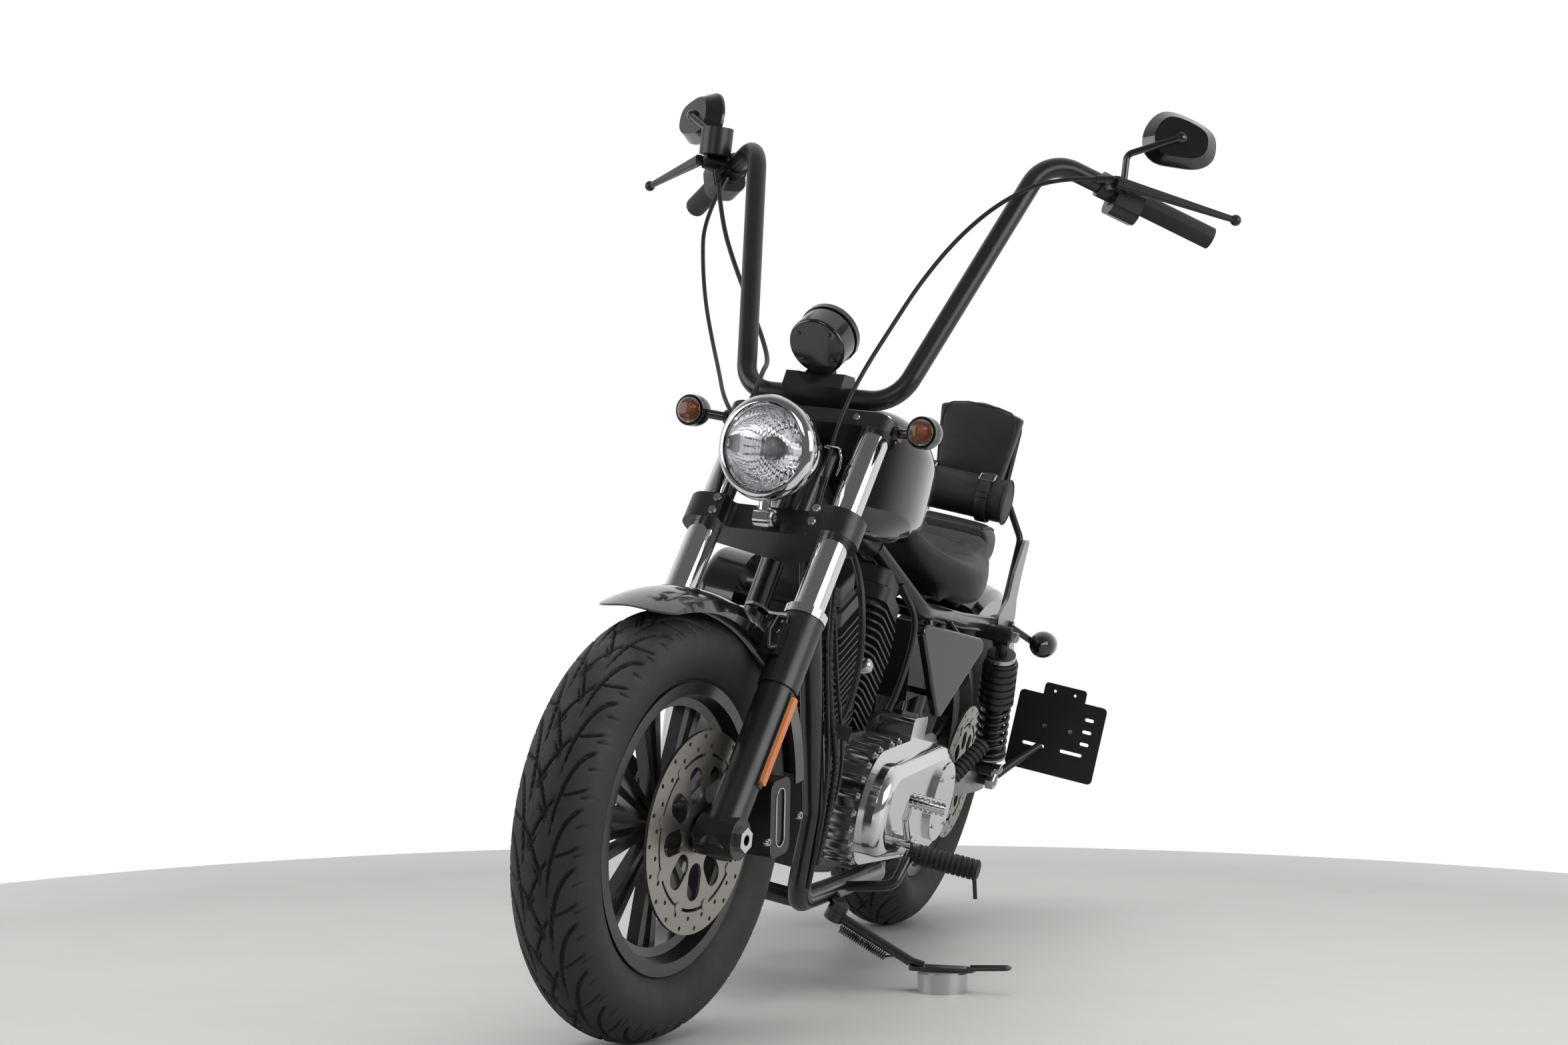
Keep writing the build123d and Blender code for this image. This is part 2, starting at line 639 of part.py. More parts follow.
with BuildPart() as speedometer:
    with BuildSketch(Plane(origin=speedo_centre, z_dir=speedo_way)):
        Circle(speedo_body_radius)
    extrude(amount=speedo_body)
    fillet(speedometer.faces().sort_by(Axis.X)[-1].edges(), 5)
    with BuildSketch(Plane(origin=speedo_centre + speedo_way * speedo_body, z_dir=speedo_way)):
        Circle(speedo_radius)
    extrude(amount=10)
    with BuildSketch(Plane(origin=speedo_centre + speedo_way * 54, z_dir=speedo_way)):
        Circle(speedo_radius - 6)
    extrude(amount=-4, mode=Mode.SUBTRACT)
finish(speedometer.part, "speedometer", steer)

bar_clear_from = bar_end - grip_way * (grip_length + 118)
bar_clear_to = bar_end - grip_way * (grip_length - 20)
def cable_fitting(seat, route):
    """Threaded fitting from a control to the first point of a cable's route, added to the part being made"""
    start, after = Vector(*route[0]), Vector(*route[1])
    way = (after - start).normalized()
    straight_bar(seat, start - way * 22, 12)
    straight_bar(start - way * 26, start - way * fit, 11)


def switch_block(start, side):
    """Box of switches round the bar, beside the grip, added to the part being made"""
    way = Vector(grip_way.X, side * grip_way.Y, grip_way.Z)
    with BuildSketch(Plane(origin=start, x_dir=(0.86, side * 0.4, 0), z_dir=-way)) as block:
        with Locations((6, -8 * side)):
            RectangleRounded(58, 62, 18)
    extrude(block.sketch, amount=46)


with BuildPart() as left_control:
    near = bar_end - grip_way * (grip_length + 2)
    far = bar_end - grip_way * (grip_length + 50)
    straight_bar(far, near, 50)
    perch = bar_end - grip_way * (grip_length + 74)
    straight_bar(perch, far, 42)
    switch_block(near, 1)
    straight_bar(perch + grip_way * 12, perch + grip_way * 12 + Vector(46, 35.6, 2), 22)
    cable_fitting(perch + grip_way * 12 + Vector(12, 9, 0), clutch_route)
    mirror_boss = perch + grip_way * 30 + Vector(30, 24, 2)
    straight_bar(perch + grip_way * 12 + Vector(30, 24, 2), mirror_boss, 18)
    straight_bar(mirror_boss - Vector(0, 0, 6), mirror_boss + Vector(0, 0, 12 - fit), 20)
    straight_bar(bar_clear_from, bar_clear_to, bar_diameter + 2 * fit, mode=Mode.SUBTRACT)
finish(left_control.part, "left_control", steer)

with BuildPart() as right_control:
    straight_bar(flip(far), flip(near), 52)
    straight_bar(flip(perch), flip(far), 42)
    switch_block(flip(near), -1)
    body = flip(perch + grip_way * 12)
    straight_bar(body, body + Vector(45, -34.8, 2), 26)
    cable_fitting(body + Vector(14, -8, 0), brake_route)
    cable_fitting(flip(far + grip_way * 10), throttle_route)
    straight_bar(body + Vector(30, -24, 2), flip(mirror_boss), 18)
    straight_bar(flip(mirror_boss) - Vector(0, 0, 6), flip(mirror_boss) + Vector(0, 0, 12 - fit), 20)
    reservoir = body + Vector(44, -16, 0)
    straight_bar(reservoir + Vector(0, 0, 12.5), reservoir + Vector(0, 0, 58), 54)
    straight_bar(flip(bar_clear_from), flip(bar_clear_to), bar_diameter + 2 * fit, mode=Mode.SUBTRACT)
finish(right_control.part, "right_control", steer)

lever_root = perch + grip_way * 12 + Vector(52, 40, 2)
lever_tip = Vector(66, 544, 1330)
with BuildPart() as levers:
    lever_way = (lever_tip - lever_root).normalized()
    with BuildSketch(Plane(origin=lever_root, z_dir=lever_way, x_dir=(0, 0, 1))):
        RectangleRounded(18, 14, 4)
    with BuildSketch(Plane(origin=lever_tip - lever_way * 8, z_dir=lever_way, x_dir=(0, 0, 1))):
        RectangleRounded(10, 8, 3)
    loft()
    with Locations(lever_tip - lever_way * 6):
        Sphere(9)
    mirror(about=Plane.XZ)
finish(levers.part, "levers", steer)

mirror_centre = Vector(106, 446, 1452)
mirror_outward = Vector(-0.5, 0.87, -0.12)
mirror_ahead = Vector(0.87, 0.5, 0.1).normalized()
mirror_depth = 24.0
mirror_outline = ((-56, -8), (-52, 18), (-34, 40), (-6, 43), (27, 36), (55, 21), (62, 2), (60, -20), (48, -33),
                  (0, -43), (-28, -43), (-50, -28))


def mirror_section(behind, share):
    """The mirror's outline, scaled, a distance behind the front of its housing"""
    with BuildSketch(Plane(origin=mirror_centre - mirror_ahead * behind, x_dir=mirror_outward,
                           z_dir=mirror_ahead)) as section:
        with BuildLine():
            Spline(*[(u * share, v * share) for u, v in mirror_outline], periodic=True)
        make_face()
    return section.sketch


with BuildPart() as mirrors:
    stem_foot = mirror_boss + Vector(0, 0, 12)
    bent_bar([stem_foot, stem_foot + Vector(0, 0, 42), mirror_centre + mirror_ahead * 6], 14, 11)
    with Locations(mirror_centre + mirror_ahead * 2):
        Sphere(10)
    loft([mirror_section(0, 0.72), mirror_section(mirror_depth, 1.0)])
    extrude(mirror_section(mirror_depth, 1.0), amount=-5)
    mirror(about=Plane.XZ)
finish(mirrors.part, "mirrors", steer)

# ---------------------------------------------------------------- side stand's place
stand_pivot = Vector(140, 165, 124)         # on the floor's frame, like the foot
foot_centre = Vector(108, 339, stand_pad_height + fit)
stand_axis = Vector(0.14, 0.5, 0.86).normalized()
stand_boss = 18.0
lug_thickness = 12.0
lug_spot = stand_pivot + stand_axis * (stand_boss / 2 + fit + lug_thickness / 2)
stand_lug = (upright.inverse() * Location(lug_spot)).position
stand_lug_way = (upright.inverse() * Location(lug_spot + stand_axis)).position - stand_lug

# ---------------------------------------------------------------- frame
eye_width = 26.0
rail_y = 104.0
rail_z = 182.0
head_low = steer_axis_at(lower_clamp_z + clamp_height / 2 + running)
head_high = steer_axis_at(upper_clamp_z - upper_clamp_height / 2 - running)
pivot_x, pivot_z = -376.0, 330.0
pivot_diameter = 44.0
upright_y = 62.0                # the frame's rear uprights pass inside the drive belt
shock_top = Vector(-590, 152, 612)
shock_foot = Vector(-705, 152, 352)
shock_pin = 14.0
backbone_low = Vector(-90, 0, 742)
backbone_high = Vector(386, 0, 842)
backbone_diameter = 46.0
seat_rail_bend = Vector(-170, 90, 652)
seat_rail_back = Vector(-420, rail_y, 632)
seat_rail_end = Vector(-640, 112, 622)
seat_rail = (seat_rail_bend, seat_rail_back)
tail_rail = (seat_rail_back, seat_rail_end)
rear_peg_start = Vector(-417, 153, 351)
rear_peg_end = Vector(-462, 188, 420)
rear_peg_way = (rear_peg_end - rear_peg_start).normalized()
rear_peg_seat = rear_peg_start - rear_peg_way * (5 + fit)
front_mount = Vector(256, 0, rail_z)
case_low = Vector(180, 0, 216)
case_front = Vector(232, 0, 290)
case_back = Vector(-262, 0, 330)
mount_foot = foot_on(front_mount, (case_low, case_front))
peg_x, peg_z = 0.0, 262.0
peg_root, peg_tip = 214.0, 324.0
with BuildPart() as frame:
    straight_bar(backbone_low, backbone_high, backbone_diameter)
    bent_bar([(382, 16, 802), (352, 52, 600), (300, rail_y, 330), (288, rail_y, rail_z), (-196, rail_y, rail_z),
              (-288, upright_y, 198), (-360, upright_y, 360), (-412, upright_y, 620)], 40, frame_tube)
    bent_bar([(-66, 12, 744), seat_rail_bend, seat_rail_back, seat_rail_end], 40, rail_tube)
    straight_bar((shock_top.X, 100, shock_top.Z), (shock_top.X, shock_top.Y - eye_width / 2 - fit, shock_top.Z), 30)
    straight_bar((shock_top.X, 100, shock_top.Z), (shock_top.X, shock_top.Y + 18, shock_top.Z), shock_pin)
    bent_bar([(44, rail_y, rail_z), (34, 196, 206), (peg_x, peg_root - 10, peg_z)], 24, 18)
    disc_at((peg_x, peg_root - fit - 5, peg_z), (0, 1, 0), 28, 10)
    bent_bar([(-336, 66, 334), (-334, 146, 334), (-372, 156, 340), rear_peg_seat], 12, 14)
    disc_at(rear_peg_seat, rear_peg_way, 26, 10)
    straight_bar((-340, upright_y, case_back.Z), (case_back.X - fit, upright_y, case_back.Z), 26)
    disc_at((pivot_x, upright_y, pivot_z), (0, 1, 0), pivot_diameter + 22, 18)
    mirror(about=Plane.XZ)
    straight_bar(front_mount - Vector(0, rail_y, 0), front_mount + Vector(0, rail_y, 0), rail_tube)
    straight_bar(front_mount, mount_foot + (front_mount - mount_foot).normalized() * fit, 24)
    straight_bar((-250, -rail_y, rail_z), (-250, rail_y, rail_z), rail_tube)
    straight_bar((-404, -upright_y, 590), (-404, upright_y, 590), rail_tube)
    straight_bar((-412, -rail_y, 632), (-412, rail_y, 632), rail_tube)
    lug_run = stand_lug - Vector(96, rail_y, rail_z)
    straight_bar((96, rail_y, rail_z), stand_lug - lug_run.normalized() * 10, 22)
    disc_at(stand_lug, stand_lug_way, 32, lug_thickness)
    disc_at(stand_lug - stand_lug_way * (lug_thickness / 2 + stand_boss), stand_lug_way, 46, 2 * stand_boss,
            mode=Mode.SUBTRACT)
    straight_bar((pivot_x, -2 * upright_y, pivot_z), (pivot_x, 2 * upright_y, pivot_z), pivot_diameter + 2 * fit,
                 mode=Mode.SUBTRACT)
    straight_bar(head_low, head_high, head_tube_diameter)
    straight_bar(head_low - leg_direction * 20, head_high + leg_direction * 20, head_bore, mode=Mode.SUBTRACT)
finish(frame.part, "frame", upright)

# ---------------------------------------------------------------- swingarm
arm_y = 124.0
arm_width = 26.0
with BuildPart() as swingarm:
    with BuildSketch(Plane.XZ.offset(-arm_y)):
        with BuildLine():
            Polyline((pivot_x + 26, pivot_z - 24), (pivot_x + 26, pivot_z + 26), (pivot_x - 60, pivot_z + 30),
                     (rear_axle_point.X + 20, rear_tyre_radius + 26), (rear_axle_point.X - 36, rear_tyre_radius + 24),
                     (rear_axle_point.X - 36, rear_tyre_radius - 24), (rear_axle_point.X + 20, rear_tyre_radius - 26),
                     (pivot_x + 26, pivot_z - 24))
        make_face()
    extrude(amount=arm_width / 2, both=True)
    straight_bar((shock_foot.X, arm_y, shock_foot.Z), (shock_foot.X, shock_foot.Y + 18, shock_foot.Z), shock_pin)
    mirror(about=Plane.XZ)
    straight_bar((pivot_x, -arm_y, pivot_z), (pivot_x, arm_y, pivot_z), pivot_diameter)
    straight_bar((rear_axle_point.X, -arm_y - 28, rear_tyre_radius),
                 (rear_axle_point.X, arm_y + 28, rear_tyre_radius), axle_diameter)
finish(swingarm.part, "swingarm", upright)

# ---------------------------------------------------------------- rear shocks
shock_run = shock_top - shock_foot
shock_way = shock_run.normalized()
shock_length = shock_run.length
spring_radius = 27.0
spring_wire = 8.0
spring_pitch = 17.0
shock_plane = Plane(origin=shock_foot, z_dir=shock_way, x_dir=(0, 1, 0))


def shock_stage(start, stop, diameter):
    """One round stage of the shock between two heights above its lower eye"""
    straight_bar(shock_foot + shock_way * start, shock_foot + shock_way * stop, diameter)


with BuildPart() as shocks:
    disc_at(shock_foot, (0, 1, 0), 34, eye_width)
    disc_at(shock_top, (0, 1, 0), 36, eye_width)
    shock_stage(10, 40, 22)
    shock_stage(26, 34, 64)
    shock_stage(30, 140, 34)
    shock_stage(138, 232, 62)
    for rib in range(6):
        shock_stage(142 + 15 * rib, 150 + 15 * rib, 68)
    shock_stage(232, 246, 54)
    shock_stage(246, shock_length - 10, 22)
    disc_at(shock_foot, (0, 1, 0), shock_pin + 2 * fit, 60, mode=Mode.SUBTRACT)
    disc_at(shock_top, (0, 1, 0), shock_pin + 2 * fit, 60, mode=Mode.SUBTRACT)
    mirror(about=Plane.XZ)
finish(shocks.part, "shocks", upright)

with BuildPart() as shock_springs:
    coil_start = shock_foot + shock_way * (34 + spring_wire / 2 + fit)
    with BuildLine():
        coil = Helix(spring_pitch, 6 * spring_pitch - 10, spring_radius, center=coil_start, direction=shock_way)
    with BuildSketch(Plane(origin=coil @ 0, z_dir=coil % 0)):
        Circle(spring_wire / 2)
    sweep(path=coil)
    mirror(about=Plane.XZ)
finish(shock_springs.part, "shock_springs", upright)

# ---------------------------------------------------------------- engine
case_half = 88.0
gearbox_half = 68.0
with BuildPart() as engine_case:
    with BuildSketch(Plane.XZ):
        with BuildLine():
            Polyline((232, 290), (228, 390), (186, 446), (24, 446), (-30, 420), (-30, 214), (60, 204), (180, 216),
                     (232, 290))
        make_face()
    extrude(amount=case_half, both=True)
    with BuildSketch(Plane.XZ):
        with BuildLine():
            Polyline((-26, 444), (-120, 462), (-236, 440), (-262, 330), (-240, 236), (-26, 216), (-26, 444))
        make_face()
    extrude(amount=gearbox_half, both=True)
    with BuildSketch(Plane.XZ.offset(case_half - 1)):                # cam cover on the right
        with Locations((crank_x, crank_z)):
            Circle(86)
        with Locations((crank_x + 20, crank_z + 46)):
            Circle(62)
        make_hull()
    extrude(amount=44)
    with BuildSketch(Plane.XZ.offset(gearbox_half - 1)):             # belt pulley of the gearbox
        with Locations((-185, crank_z)):
            Circle(44)
    extrude(amount=38)
finish(engine_case.part, "engine_case", upright)


def cylinder_plane(side):
    """Plane on the crank's centre with its Z along one cylinder: +1 the front, -1 the rear"""
    lean = radians(cylinder_angle)
    return Plane(origin=(crank_x, 0, crank_z), x_dir=(cos(lean), 0, -side * sin(lean)),
                 z_dir=(side * sin(lean), 0, cos(lean)))


fin_length, fin_width = 152.0, 166.0
head_fins = 5
intake_z = 600.0
intake_diameter = 38.0
intake_reach = 54.0             # of the manifold's two spigots, from its middle


def make_cylinder(side):
    """Barrel and head with their cooling fins, cut back where the two cylinders come close"""
    axis_plane = cylinder_plane(side)
    with BuildPart() as cylinder:
        with BuildSketch(axis_plane.offset(barrel_base - 16)):
            Circle(bore_radius - 8)
        extrude(amount=head_base - barrel_base + 16)
        for fin in range(fin_count):
            with BuildSketch(axis_plane.offset(barrel_base + 6 + fin * fin_pitch)):
                RectangleRounded(fin_length, fin_width, 34)
            extrude(amount=fin_thickness)
        with BuildSketch(axis_plane.offset(head_base)):
            RectangleRounded(fin_length - 38, fin_width - 38, 26)
        extrude(amount=rocker_base - head_base)
        for fin in range(head_fins):
            with BuildSketch(axis_plane.offset(head_base + 4 + fin * (fin_pitch + 1.5))):
                RectangleRounded(fin_length - 2 * fin, fin_width - 2 * fin, 26)
            extrude(amount=fin_thickness)
        split(bisect_by=Plane(origin=(crank_x + side * 3, 0, 0), z_dir=(side, 0, 0)), keep=Keep.TOP)
        with BuildSketch(Plane.XZ):
            with BuildLine():
                Polyline((232, 290), (228, 390), (186, 446.5), (24, 446.5), (-30, 420), (-30, 214), (60, 204),
                         (180, 216), (232, 290))
            make_face()
        extrude(amount=case_half + 20, both=True, mode=Mode.SUBTRACT)
        straight_bar((crank_x - intake_reach - fit, 0, intake_z), (crank_x + intake_reach + fit, 0, intake_z),
                     intake_diameter + 2 * fit, mode=Mode.SUBTRACT)
    return cylinder.part


finish(make_cylinder(1), "front_cylinder", upright)
finish(make_cylinder(-1), "rear_cylinder", upright)


def make_rocker_cover(side):
    """Two-step rocker box on a cylinder head"""
    axis_plane = cylinder_plane(side)
    with BuildPart() as cover:
        with BuildSketch(axis_plane.offset(rocker_base)):
            RectangleRounded(124, 150, 20)
        extrude(amount=26)
        with BuildSketch(axis_plane.offset(rocker_base + 26)):
            RectangleRounded(104, 132, 24)
        extrude(amount=rocker_top - rocker_base - 26)
        fillet(cover.faces().sort_by(Axis.Z)[-1].edges(), 7)
    return cover.part


rocker_pair = [make_rocker_cover(1), make_rocker_cover(-1)]
finish(Compound(children=rocker_pair), "rocker_covers", upright)

# ---------------------------------------------------------------- primary cover
primary_y = case_half + fit
primary_step = 150.0
primary_face = 190.0
clutch_x = -185.0
with BuildPart() as primary_cover:
    with BuildSketch(Plane.XZ.offset(-primary_y)):
        with Locations((crank_x, crank_z)):
            Circle(97)
        with Locations((clutch_x, crank_z)):
            Circle(111)
        make_hull()
        with Locations((-96, crank_z + 112)):
            RectangleRounded(96, 62, 12)
    extrude(amount=-(primary_step - primary_y))
    with BuildSketch(Plane.XZ.offset(-primary_y)):
        for angle in range(-70, 100, 17):
            with Locations((crank_x + 96 * cos(radians(angle)), crank_z + 96 * sin(radians(angle)))):
                Circle(7)
        for share in (0.2, 0.36, 0.8):
            with Locations((crank_x + share * (clutch_x - crank_x), crank_z + 97 + 14 * share)):
                Circle(8)
    extrude(amount=-(primary_step - primary_y - 8))
    with BuildSketch(Plane.XZ.offset(-primary_step)):
        with Locations((crank_x - 4, crank_z)):
            Circle(80)
        with Locations((clutch_x + 4, crank_z)):
            Circle(96)
        make_hull()
    extrude(amount=-(primary_face - primary_step))
    fillet(primary_cover.faces().sort_by(Axis.Y)[-1].edges(), 20)
    with BuildSketch(Plane.XZ.offset(-primary_face + 1)):
        with Locations((clutch_x + 4, crank_z)):
            Circle(70)
    extrude(amount=-9)
finish(primary_cover.part, "primary_cover", upright)

# ---------------------------------------------------------------- air cleaner
with BuildPart() as air_cleaner:
    disc_at((crank_x, -172, 606), (0, 1, 0), 186, 66)
    fillet(air_cleaner.faces().sort_by(Axis.Y)[0].edges(), 16)
    straight_bar((crank_x, -142, 606), (crank_x, -96, 606), 46)
    bent_bar([(crank_x, -100, 606), (crank_x, -60, 604), (crank_x, 0, intake_z)], 20, 42)
    straight_bar((crank_x - intake_reach, 0, intake_z), (crank_x + intake_reach, 0, intake_z), intake_diameter)
finish(air_cleaner.part, "air_cleaner", upright)

# ---------------------------------------------------------------- exhaust
pipe_diameter = 42.0
muffler_diameter = 84.0
muffler_y = -240.0
port_y = 1 - fin_width / 2 - fit
low_muffler = (Vector(-170, muffler_y, 256), Vector(-812, muffler_y, 304))
high_muffler = (Vector(-196, muffler_y, 350), Vector(-850, muffler_y, 398))
outlet_bore = 44.0
outlet_depth = 60.0
with BuildPart() as exhaust:
    bent_bar([(232, port_y, 600), (232, -128, 600), (262, -172, 480), (196, -180, 322), (-50, -180, 300),
              (-190, muffler_y, 258)], 36, pipe_diameter)
    straight_bar(*low_muffler, muffler_diameter)
    bent_bar([(-26, port_y, 600), (-26, -128, 600), (-92, -186, 480), (-210, muffler_y, 356)], 30, pipe_diameter)
    straight_bar(*high_muffler, muffler_diameter)
    for front, back in (low_muffler, high_muffler):
        straight_bar(back + (front - back).normalized() * outlet_depth, back, outlet_bore, mode=Mode.SUBTRACT)
finish(exhaust.part, "exhaust", upright)

# ---------------------------------------------------------------- fuel tank
tank_sections = ((-138, 48, 778, 862, 22), (-70, 90, 772, 898, 38), (80, 122, 766, 944, 52),
                 (180, 127, 768, 970, 56), (258, 100, 776, 978, 50), (292, 58, 800, 958, 34))
tank_mounts = ((0, 768), (210, 806))
with BuildPart() as fuel_tank:
    for x, half, low, high, corner in tank_sections:
        with BuildSketch(Plane(origin=(x, 0, (low + high) / 2), x_dir=(0, 1, 0), z_dir=(1, 0, 0))):
            RectangleRounded(2 * half, high - low, corner)
    loft()
    with BuildSketch(Plane.YZ.offset(-160)):
        with Locations((0, 745)):
            Rectangle(backbone_diameter + 12, 90)
    extrude(amount=520, mode=Mode.SUBTRACT)
    straight_bar(backbone_low - Vector(100, 0, 21), backbone_high, backbone_diameter + 12, mode=Mode.SUBTRACT)
    for x, z in tank_mounts:
        for side in (-1, 1):
            stub((x, side * (backbone_diameter / 2 + 12), z), (backbone_low, backbone_high), backbone_diameter / 2, 18)
    straight_bar((210, 0, 960), (207, 0, 990), 60)
finish(fuel_tank.part, "fuel_tank", upright)

# ---------------------------------------------------------------- seats
rider_sections = ((-142, 46, 776, 834, 20), (-200, 90, 712, 776, 26), (-288, 150, 668, 752, 34),
                  (-380, 150, 668, 764, 38), (-446, 128, 690, 800, 34))
with BuildPart() as rider_seat:
    for x, half, low, high, corner in rider_sections:
        with BuildSketch(Plane(origin=(x, 0, (low + high) / 2), x_dir=(0, 1, 0), z_dir=(1, 0, 0))):
            RectangleRounded(2 * half, high - low, corner)
    loft()
    for bumper in (Vector(-250, 94, 700), Vector(-370, 101, 700)):
        stub(bumper, seat_rail, rail_tube / 2, 24)
        stub(flip(bumper), (flip(seat_rail_bend), flip(seat_rail_back)), rail_tube / 2, 24)
finish(rider_seat.part, "rider_seat", upright)

with BuildPart() as pillion_seat:
    for x, half, low, high, corner in ((-448, 118, 726, 806, 30), (-540, 112, 728, 812, 32), (-628, 84, 732, 806, 30)):
        with BuildSketch(Plane(origin=(x - 3, 0, (low + high) / 2), x_dir=(0, 1, 0), z_dir=(1, 0, 0))):
            RectangleRounded(2 * half, high - low, corner)
    loft()
finish(pillion_seat.part, "pillion_seat", upright)

# ---------------------------------------------------------------- side covers and battery box
box_half = rail_y - frame_tube / 2 - 4
cover_front = Vector(-166, 96, 632)         # the panel's three corners
cover_back = Vector(-402, 171, 611)
cover_low = Vector(-232, 148, 461)
cover_thickness = 14.0
cover_run = cover_back - cover_front
cover_plane = Plane(origin=cover_front, x_dir=cover_run, z_dir=cover_run.cross(cover_low - cover_front))
cover_outward = Axis(cover_front, -cover_plane.z_dir)


def under_cover(x, z):
    """Point in the middle of the panel's thickness, at a place along the machine and a height"""
    across = cover_plane.z_dir.X * (x - cover_front.X) + cover_plane.z_dir.Z * (z - cover_front.Z)
    return Vector(x, cover_front.Y - (across - cover_thickness / 2) / cover_plane.z_dir.Y, z)


with BuildPart() as side_covers:
    with BuildSketch(cover_plane):
        with BuildLine():
            FilletPolyline((0, 0), (cover_run.length, 0), cover_plane.to_local_coords(cover_low),
                           radius=16, close=True)
        make_face()
    extrude(amount=cover_thickness)
    fillet(side_covers.faces().sort_by(cover_outward)[-1].edges(), 6)
    for x in (-210, -310):
        stub(under_cover(x, 606), seat_rail, rail_tube / 2, 12)
    box_post = under_cover(-246, 506)
    straight_bar(box_post, (box_post.X, box_half + fit, box_post.Z), 12)
    mirror(about=Plane.XZ)
finish(side_covers.part, "side_covers", upright)

with BuildPart() as battery_box:
    with BuildSketch(Plane.XZ):
        with BuildLine():
            Polyline((-176, 628), (-352, 616), (-340, 492), (-236, 484), (-176, 628))
        make_face()
    extrude(amount=box_half, both=True)
    for x in (-230, -320):
        stub((x, box_half - 6, 600), seat_rail, rail_tube / 2, 14)
    mirror(about=Plane.XZ)
finish(battery_box.part, "battery_box", upright)

# ---------------------------------------------------------------- rear fender
rear_fender_half = 92.0
with make_fender(372, rear_fender_half, 60, -74, 100) as rear_fender:
    for x in (-600, -630):
        rail = (seat_rail_back - rear_axle_point, seat_rail_end - rear_axle_point)
        spot = Vector(x, 0, seat_rail_end.Z) - rear_axle_point
        stub(spot + Vector(0, rear_fender_half - 2, 0), rail, rail_tube / 2, 16)
    mirror(about=Plane.XZ)
finish(rear_fender.part, "rear_fender", rear_wheel_place)

# ---------------------------------------------------------------- backrest
rod_diameter = 13.0
strut_half = 3.0
strut_y = seat_rail_end.Y + rail_tube / 2 + fit + strut_half
rod_y = strut_y - strut_half - fit - rod_diameter / 2
rod_foot = Vector(-684, rod_y, 644)
rod_bend = Vector(-692, rod_y, 790)
rod_shoulder = Vector(-706, 66, 872)
rod_top = Vector(-720, 66, 1012)
with BuildPart() as sissy_bar:
    bent_bar([rod_foot, rod_bend, rod_shoulder, rod_top, flip(rod_top), flip(rod_shoulder), flip(rod_bend),
              flip(rod_foot)], 28, rod_diameter)
finish(sissy_bar.part, "sissy_bar", upright)

with BuildPart() as sissy_plates:
    with BuildSketch(Plane.XZ.offset(-strut_y)):
        with BuildLine():
            FilletPolyline((-622, 602), (-598, 642), (-650, 676), (-654, 726), (-684, 790), (-722, 790), (-716, 724),
                           (-720, 676), (-742, 640), (-722, 602), radius=8, close=True)
        make_face()
    extrude(amount=strut_half, both=True)
    mirror(about=Plane.XZ)
finish(sissy_plates.part, "sissy_plates", upright)

with BuildPart() as sissy_pad:
    with BuildSketch(Plane.YZ.offset(rod_shoulder.X + rod_diameter / 2 + fit)) as pad_outline:
        Polygon((-66, 862), (66, 862), (86, 1016), (0, 1034), (-86, 1016), align=None)
        low_corners, top_corners, crown_point = pad_outline.vertices().group_by(Axis.Y)
        fillet(low_corners, 10)
        fillet(top_corners, 34)
        fillet(crown_point, 240)
    extrude(amount=46)
finish(sissy_pad.part, "sissy_pad", upright)

bag_diameter = 88.0
with BuildPart() as roll_bag:
    bag_spot = Vector(-606, 104, 810 + fit + bag_diameter / 2)
    straight_bar(flip(bag_spot), bag_spot, bag_diameter)
finish(roll_bag.part, "roll_bag", upright)

# ---------------------------------------------------------------- drive belt and pulley
belt_y = -94.0
belt_width = 20.0
front_pulley = 44.0
rear_pulley_radius = 112.0
belt_thickness = 6.0


def belt_outline(grow):
    """Line round both pulleys, set out from them by a distance, added to the sketch being made"""
    with BuildSketch(Plane.XZ.offset(-belt_y)) as outline:
        with Locations((clutch_x, crank_z)):
            Circle(front_pulley + grow)
        with Locations((rear_axle_point.X, rear_tyre_radius)):
            Circle(rear_pulley_radius + grow)
        make_hull()
    return outline.sketch


belt_outer = belt_outline(belt_thickness + fit)
belt_inner = belt_outline(fit)
with BuildPart() as drive_belt:
    extrude(belt_outer, amount=belt_width / 2, both=True)
    extrude(belt_inner, amount=belt_width, both=True, mode=Mode.SUBTRACT)
finish(drive_belt.part, "drive_belt", upright)

with BuildPart() as rear_pulley:
    with BuildSketch(Plane.XZ.offset(-belt_y)):
        Circle(rear_pulley_radius)
        with PolarLocations(74, 6):
            Circle(17, mode=Mode.SUBTRACT)
        Circle(axle_diameter / 2 + 6, mode=Mode.SUBTRACT)
    extrude(amount=belt_width / 2, both=True)
    with BuildSketch(Plane.XZ.offset(-belt_y - belt_width / 2)):
        Circle(44)
        Circle(axle_diameter / 2 + 6, mode=Mode.SUBTRACT)
    extrude(amount=-(abs(belt_y) - belt_width / 2 - rear_hub_width / 2 - fit))
finish(rear_pulley.part, "rear_pulley", rear_wheel_place)

# ---------------------------------------------------------------- foot controls
def ribbed_peg(start, end, diameter, ribs):
    """Rubber foot peg with raised rings along it, added to the part being made"""
    begin, way = Vector(*start), (Vector(*end) - Vector(*start))
    straight_bar(begin, begin + way, diameter - 6)
    for ring in range(ribs):
        at = begin + way * ((ring + 0.5) / ribs)
        disc_at(at, way, diameter, way.length / ribs * 0.55)


with BuildPart() as rider_pegs:
    ribbed_peg((peg_x, peg_root, peg_z), (peg_x, peg_tip, peg_z), 36, 12)
    straight_bar((peg_x, peg_tip - 8, peg_z), (peg_x - 6, peg_tip + 4, peg_z - 48), 7)
    mirror(about=Plane.XZ)
finish(rider_pegs.part, "rider_pegs", upright)

